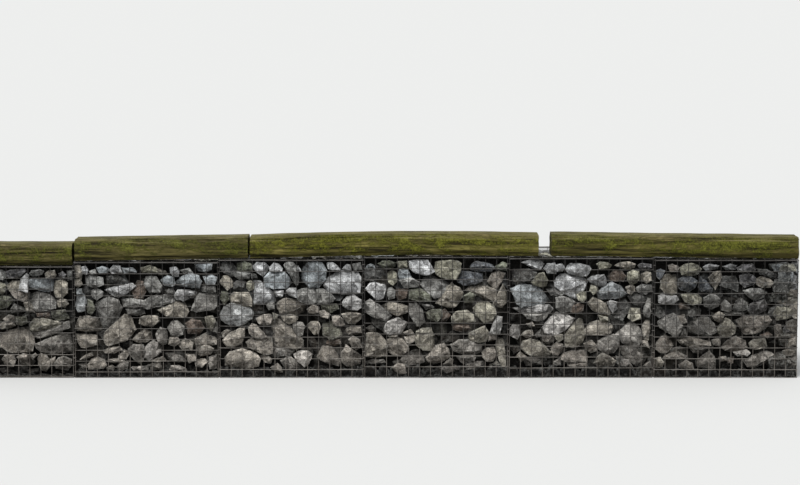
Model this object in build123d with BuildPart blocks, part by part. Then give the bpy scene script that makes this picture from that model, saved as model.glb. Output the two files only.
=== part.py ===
"""Gabion wall: six welded-mesh baskets of quarried stone in a row, with old sleepers along the top.

Millimetres, +Z up. X runs along the wall, -Y is the face that shows, and the origin lies on the ground
under the middle of the wall.
"""

import os

from build123d import *

# Welded mesh, measured between wire centres
mesh_pitch = 75.0
wire = 4.0
cells_along = 13
cells_up = 10
cells_deep = 10

# The row: the space between the front meshes of two neighbours, and between their end meshes
seam_gap = 10.0
end_clearance = 0.4

# How far each basket has been left standing above the first one, which has settled most
settled_rise = [0.0, 30.0, 47.0, 66.0, 58.0, 46.0]

# Sleepers along the front edge of the lids
sleeper_height = 150.0
sleeper_depth = 250.0
sleeper_setback = 12.0
sleeper_arris = 10.0

# Joints between the sleepers: where they lie, counted in baskets from the left, and how wide they are
sleeper_joints = [1.0, 2.21, 4.25]
joint_gaps = [12.0, 8.0, 82.0]

# How far the ends of each sleeper have warped down below its middle
sleeper_bows = [0.0, 0.0, 15.0, 0.0]

baskets = len(settled_rise)
mesh_thickness = 2 * wire
panel_length = cells_along * mesh_pitch + wire
panel_height = cells_up * mesh_pitch + wire
basket_depth = cells_deep * mesh_pitch + wire
inner_depth = basket_depth - 2 * mesh_thickness
bay_pitch = panel_length + seam_gap
inner_length = bay_pitch - end_clearance - 2 * mesh_thickness
wall_length = baskets * bay_pitch - end_clearance
face_y = -basket_depth / 2


def basket_centre(basket):
    return (basket - (baskets - 1) / 2) * bay_pitch


def mesh_foot(basket):
    """Underside of the lowest horizontal wire. The upright wires run on below it, down to the base."""
    return mesh_thickness + settled_rise[basket]


def mesh_top(basket):
    return mesh_foot(basket) + panel_height


def lid_top(basket):
    return mesh_top(basket) + mesh_thickness


def front_panel(basket):
    """Every wire of the mesh that shows: level wires outside, upright wires welded behind them."""
    middle_x = basket_centre(basket)
    base_z, top_z = mesh_thickness, mesh_top(basket)
    with BuildPart() as panel:
        with BuildSketch(Plane.XZ.offset(-face_y)):
            with Locations((middle_x, mesh_foot(basket) + panel_height / 2)):
                with GridLocations(0, mesh_pitch, 1, cells_up + 1):
                    Rectangle(panel_length, wire)
        extrude(amount=-wire)
        with BuildSketch(Plane.XZ.offset(-face_y - wire)):
            with Locations((middle_x, (base_z + top_z) / 2)):
                with GridLocations(mesh_pitch, 0, cells_along + 1, 1):
                    Rectangle(wire, top_z - base_z)
        extrude(amount=-wire)
    return panel


def framed_panel(plane, middle, width, cells_wide, bottom, top, rows):
    """A mesh given by its border wires and its middle wire each way. The plane is its outer or upper face."""
    column_pitch = (width - wire) / cells_wide
    with BuildPart() as panel:
        with BuildSketch(plane):
            for column in (0, cells_wide // 2, cells_wide):
                with Locations((middle + column * column_pitch - (width - wire) / 2, (bottom + top) / 2)):
                    Rectangle(wire, top - bottom)
            for row in (0, rows // 2, rows):
                with Locations((middle, top - wire / 2 - row * mesh_pitch)):
                    Rectangle(width, wire)
        extrude(amount=-mesh_thickness)
    return panel


def flat_panel(basket, upper_z):
    """A base or a lid, over the whole plan of its basket."""
    plane = Plane.XY.offset(upper_z)
    half_depth = basket_depth / 2
    return framed_panel(plane, basket_centre(basket), panel_length, cells_along, -half_depth, half_depth, cells_deep)


def back_panel(basket):
    plane = Plane.XZ.offset(mesh_thickness - basket_depth / 2)
    middle_x = basket_centre(basket)
    return framed_panel(plane, middle_x, panel_length, cells_along, mesh_thickness, mesh_top(basket), cells_up)


def end_panel(basket, side):
    """The left (-1) or right (+1) end, between the front and the back, pushed out to its neighbour's end."""
    outer_x = basket_centre(basket) + side * (bay_pitch - end_clearance) / 2
    plane = Plane.YZ.offset(max(outer_x, outer_x - side * mesh_thickness))
    return framed_panel(plane, 0, inner_depth, cells_deep, mesh_thickness, mesh_top(basket), cells_up)


def stone_fill(basket):
    with BuildPart() as fill:
        with BuildSketch(Plane.XY.offset(mesh_thickness)):
            with Locations((basket_centre(basket), 0)):
                Rectangle(inner_length, inner_depth)
        extrude(amount=mesh_top(basket) - mesh_thickness)
    return fill


def bow_at(x, start_x, end_x, bow):
    """How far the underside of a sleeper lies below its middle, at one place along it."""
    return bow * (2 * (x - start_x) / (end_x - start_x) - 1) ** 2


def resting_line(start_x, end_x, bow):
    """The heights at which the two ends of a sleeper come to rest.

    It lies on two corners of the lids below it, one on each side of its middle. Of all such pairs they are
    the two that hold its middle highest.
    """
    middle_x = (start_x + end_x) / 2
    corners = []
    for basket in range(baskets):
        left = max(start_x, basket_centre(basket) - panel_length / 2)
        right = min(end_x, basket_centre(basket) + panel_length / 2)
        if left < right:
            corners += [(x, lid_top(basket) + bow_at(x, start_x, end_x, bow)) for x in (left, right)]
    best = None
    for left_x, left_z in corners:
        for right_x, right_z in corners:
            if left_x < middle_x < right_x:
                slope = (right_z - left_z) / (right_x - left_x)
                middle_z = left_z + slope * (middle_x - left_x)
                if best is None or middle_z > best[0]:
                    best = (middle_z, slope)
    middle_z, slope = best
    half_rise = slope * (end_x - start_x) / 2
    return middle_z - half_rise - bow, middle_z + half_rise - bow


def sleeper(start_x, end_x, bow):
    """One sleeper at rest on the lids, its ends sawn plumb and its long edges worn off."""
    start_z, end_z = resting_line(start_x, end_x, bow)
    middle_x, middle_z = (start_x + end_x) / 2, (start_z + end_z) / 2 + bow
    with BuildPart() as timber:
        with BuildSketch(Plane.XZ.offset(-face_y - sleeper_setback)):
            with BuildLine():
                sides = []
                for lift in (0, sleeper_height):
                    ends = (start_x, start_z + lift), (end_x, end_z + lift)
                    sides.append(ThreePointArc(ends[0], (middle_x, middle_z + lift), ends[1]) if bow else Line(*ends))
                Line(sides[0] @ 0, sides[1] @ 0)
                Line(sides[0] @ 1, sides[1] @ 1)
            make_face()
        extrude(amount=-sleeper_depth)
        long_edges = timber.edges().filter_by(Axis.Y, reverse=True).filter_by(Axis.Z, reverse=True)
        chamfer(long_edges, sleeper_arris)
    return timber


def save(name, solid):
    solid.label = name
    export_step(solid, f"parts/{name}.step")


os.makedirs("parts", exist_ok=True)

for basket in range(baskets):
    number = basket + 1
    save(f"base_panel_{number}", flat_panel(basket, mesh_thickness).part)
    save(f"front_panel_{number}", front_panel(basket).part)
    save(f"back_panel_{number}", back_panel(basket).part)
    save(f"stone_fill_{number}", stone_fill(basket).part)
    save(f"lid_panel_{number}", flat_panel(basket, lid_top(basket)).part)

# The two ends of the row stand alone, and at each seam the ends of two neighbours stand back to back
save("end_panel_left", end_panel(0, -1).part)
for basket in range(baskets - 1):
    pair = Compound(children=[end_panel(basket, 1).part, end_panel(basket + 1, -1).part])
    save(f"end_panels_{basket + 1}_{basket + 2}", pair)
save("end_panel_right", end_panel(baskets - 1, 1).part)

ends_x = [-wall_length / 2]
for joint, gap in zip(sleeper_joints, joint_gaps):
    joint_x = basket_centre(0) + (joint - 0.5) * bay_pitch
    ends_x += [joint_x - gap / 2, joint_x + gap / 2]
ends_x.append(wall_length / 2)
for number, (start_x, end_x, bow) in enumerate(zip(ends_x[::2], ends_x[1::2], sleeper_bows), start=1):
    save(f"sleeper_{number}", sleeper(start_x, end_x, bow).part)
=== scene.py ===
import math
import random

import bmesh
import bpy
from mathutils import Matrix, Vector, noise


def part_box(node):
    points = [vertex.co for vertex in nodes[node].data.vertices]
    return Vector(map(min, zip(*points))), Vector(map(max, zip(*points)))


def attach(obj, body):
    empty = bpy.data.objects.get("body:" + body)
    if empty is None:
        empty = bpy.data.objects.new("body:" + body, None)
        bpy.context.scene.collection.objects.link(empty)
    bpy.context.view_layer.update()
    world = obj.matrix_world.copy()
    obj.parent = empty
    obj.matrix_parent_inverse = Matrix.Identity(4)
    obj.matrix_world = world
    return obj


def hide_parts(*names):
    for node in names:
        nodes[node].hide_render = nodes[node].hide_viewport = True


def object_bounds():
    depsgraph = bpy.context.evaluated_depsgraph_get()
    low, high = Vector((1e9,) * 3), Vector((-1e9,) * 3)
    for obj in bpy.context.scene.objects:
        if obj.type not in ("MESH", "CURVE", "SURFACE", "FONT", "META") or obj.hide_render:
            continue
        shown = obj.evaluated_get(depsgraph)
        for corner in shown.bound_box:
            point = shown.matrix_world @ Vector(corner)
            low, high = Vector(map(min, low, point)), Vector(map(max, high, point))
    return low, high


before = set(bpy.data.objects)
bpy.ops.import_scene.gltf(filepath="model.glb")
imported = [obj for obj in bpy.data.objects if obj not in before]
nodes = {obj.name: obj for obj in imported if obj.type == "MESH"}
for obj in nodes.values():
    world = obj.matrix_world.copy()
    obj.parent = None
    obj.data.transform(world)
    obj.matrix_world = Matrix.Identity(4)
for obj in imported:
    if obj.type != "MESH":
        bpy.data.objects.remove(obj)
cadBox = [list(corner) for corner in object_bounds()]
print("frame loaded:", len(nodes), "nodes")
noise.seed_set(7)   # without a seed its vectors start from the clock

# Measures that all pieces share, in metres. The places of the baskets come from the frame
row = {
    "baskets": 6,
    "cell": 0.075,
    "columns": 13,
    "rows": 10,
    "deep": 10,
    "halfWire": 0.002,
    "lowestTop": 0.762,   # upper edge of the front mesh that has settled most
    "outerY": 0.377,      # outer faces of the front and back meshes
    "lidOver": 0.010,     # from the middle of the top wires to the lid's upper face
    "bayHalf": 0.4863,    # from the middle of a basket to the inside of its end mesh
    "endHalf": 0.4943,    # and to the outside of it
    "sleepersTo": -0.09,  # the sleepers keep the light from the stones in front of this
}


def basketPlace(number):
    low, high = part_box(f"front_panel_{number}")
    return {
        "left": low.x + row["halfWire"],
        "right": high.x - row["halfWire"],
        "middle": (low.x + high.x) / 2,
        "top": high.z - row["halfWire"],
        "foot": low.z,
        "rise": high.z - row["lowestTop"],
    }


places = {number: basketPlace(number) for number in range(1, row["baskets"] + 1)}


# Handling of objects


def pick(*pieces):
    if bpy.context.object and bpy.context.object.mode != "OBJECT":
        bpy.ops.object.mode_set(mode="OBJECT")
    bpy.ops.object.select_all(action="DESELECT")
    for piece in pieces:
        piece.select_set(True)
    bpy.context.view_layer.objects.active = pieces[0]


def applyModifier(piece, kind, **settings):
    pick(piece)
    modifier = piece.modifiers.new(kind.lower(), kind)
    for key, value in settings.items():
        setattr(modifier, key, value)
    bpy.ops.object.modifier_apply(modifier=modifier.name)


def smooth(piece, degrees):
    pick(piece)
    bpy.ops.object.shade_smooth_by_angle(angle=math.radians(degrees))


def joinAs(name, pieces):
    pick(*pieces)
    if len(pieces) > 1:
        bpy.ops.object.join()
    joined = bpy.context.object
    joined.name = name
    joined.data.name = name
    return joined


def copyPiece(piece, name, matrix=None):
    made = piece.copy()
    made.data = piece.data.copy()
    made.name = name
    made.data.name = name
    bpy.context.scene.collection.objects.link(made)
    if matrix is not None:
        made.data.transform(matrix)
    return made


def settle(piece, nodeNames, material):
    # gives a finished piece its material and its body, and hides the nodes that it stands for
    piece.data.materials.clear()
    piece.data.materials.append(material)
    for face in piece.data.polygons:
        face.material_index = 0
    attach(piece, "root")
    if nodeNames:
        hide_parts(*nodeNames)


# Handling of materials


def paint(red, green, blue):
    # a screen colour, 0 to 255, as Blender's sockets want it
    def linear(part):
        part = part / 255
        return part / 12.92 if part <= 0.04045 else ((part + 0.055) / 1.055) ** 2.4

    return (linear(red), linear(green), linear(blue), 1.0)


class Reading:
    # the output of a node, so that shader maths reads as plain sums
    def __init__(self, look, socket):
        self.look = look
        self.socket = socket

    def sum(self, operation, first, second):
        return self.look.node("ShaderNodeMath", {"operation": operation}, {0: first, 1: second})

    def __add__(self, other):
        return self.sum("ADD", self, other)

    def __radd__(self, other):
        return self.sum("ADD", other, self)

    def __sub__(self, other):
        return self.sum("SUBTRACT", self, other)

    def __rsub__(self, other):
        return self.sum("SUBTRACT", other, self)

    def __mul__(self, other):
        return self.sum("MULTIPLY", self, other)

    def __rmul__(self, other):
        return self.sum("MULTIPLY", other, self)


class Look:
    def __init__(self, name):
        self.material = bpy.data.materials.new(name)
        self.material.use_nodes = True
        self.tree = self.material.node_tree
        self.surface = self.tree.nodes["Principled BSDF"]
        self.place = self.node("ShaderNodeTexCoord", output="Object")

    def node(self, kind, settings=None, inputs=None, output=0):
        made = self.tree.nodes.new(kind)
        for key, value in (settings or {}).items():
            setattr(made, key, value)
        for key, value in (inputs or {}).items():
            if isinstance(value, Reading):
                self.tree.links.new(value.socket, made.inputs[key])
            else:
                made.inputs[key].default_value = value
        return Reading(self, made.outputs[output])

    def cloud(self, scale, detail=4.0, rough=0.5, place=None):
        inputs = {"Vector": place or self.place, "Scale": scale, "Detail": detail, "Roughness": rough}
        return self.node("ShaderNodeTexNoise", inputs=inputs)

    def pattern(self, values, place=None):
        # a cloud by its scale, detail and roughness, and where two more follow, faded in between them
        made = self.cloud(*values[:3], place)
        return self.ramp(made, *values[3:]) if len(values) > 3 else made

    def stretched(self, x, y, z, shift=0.0):
        inputs = {"Vector": self.place, "Scale": (x, y, z), "Location": (shift, shift, shift)}
        return self.node("ShaderNodeMapping", inputs=inputs)

    def voronoi(self, place, scale, output):
        # output 1 is a cell's own colour, and 2 is where its middle lies
        return self.node("ShaderNodeTexVoronoi", inputs={"Vector": place, "Scale": scale}, output=output)

    def minus(self, first, second):
        return self.node("ShaderNodeVectorMath", {"operation": "SUBTRACT"}, {0: first, 1: second})

    def dot(self, first, second):
        settings = {"operation": "DOT_PRODUCT"}
        return self.node("ShaderNodeVectorMath", settings, {0: first, 1: second}, output="Value")

    def shifted(self, place, noiseColour, amount):
        # a place moved by up to half the amount each way
        step = self.minus(noiseColour, (0.5, 0.5, 0.5))
        step = self.node("ShaderNodeVectorMath", {"operation": "SCALE"}, {0: step, "Scale": amount})
        return self.node("ShaderNodeVectorMath", {"operation": "ADD"}, {0: place, 1: step})

    def ramp(self, value, low, high):
        # 0 below low, 1 above high, with a soft step between
        inputs = {"Value": value, "From Min": low, "From Max": high}
        return self.node("ShaderNodeMapRange", {"interpolation_type": "SMOOTHSTEP"}, inputs)

    def mix(self, factor, first, second):
        return self.node("ShaderNodeMix", {"data_type": "RGBA"}, {0: factor, 6: first, 7: second}, 2)

    def scaled(self, colour, factor):
        colour = colour if isinstance(colour, Reading) else colour[:3]
        return self.node("ShaderNodeVectorMath", {"operation": "SCALE"}, {0: colour, "Scale": factor})

    def split(self, vector, axis):
        return self.node("ShaderNodeSeparateXYZ", inputs={0: vector}, output=axis)

    def attribute(self, name, output="Fac"):
        return self.node("ShaderNodeAttribute", {"attribute_name": name}, output=output)

    def finish(self, **inputs):
        for key, value in inputs.items():
            socket = self.surface.inputs[key.replace("_", " ")]
            if isinstance(value, Reading):
                self.tree.links.new(value.socket, socket)
            else:
                socket.default_value = value
        return self.material

    def bump(self, height, strength, distance):
        inputs = {"Height": height, "Strength": strength, "Distance": distance}
        return self.node("ShaderNodeBump", inputs=inputs, output="Normal")


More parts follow.
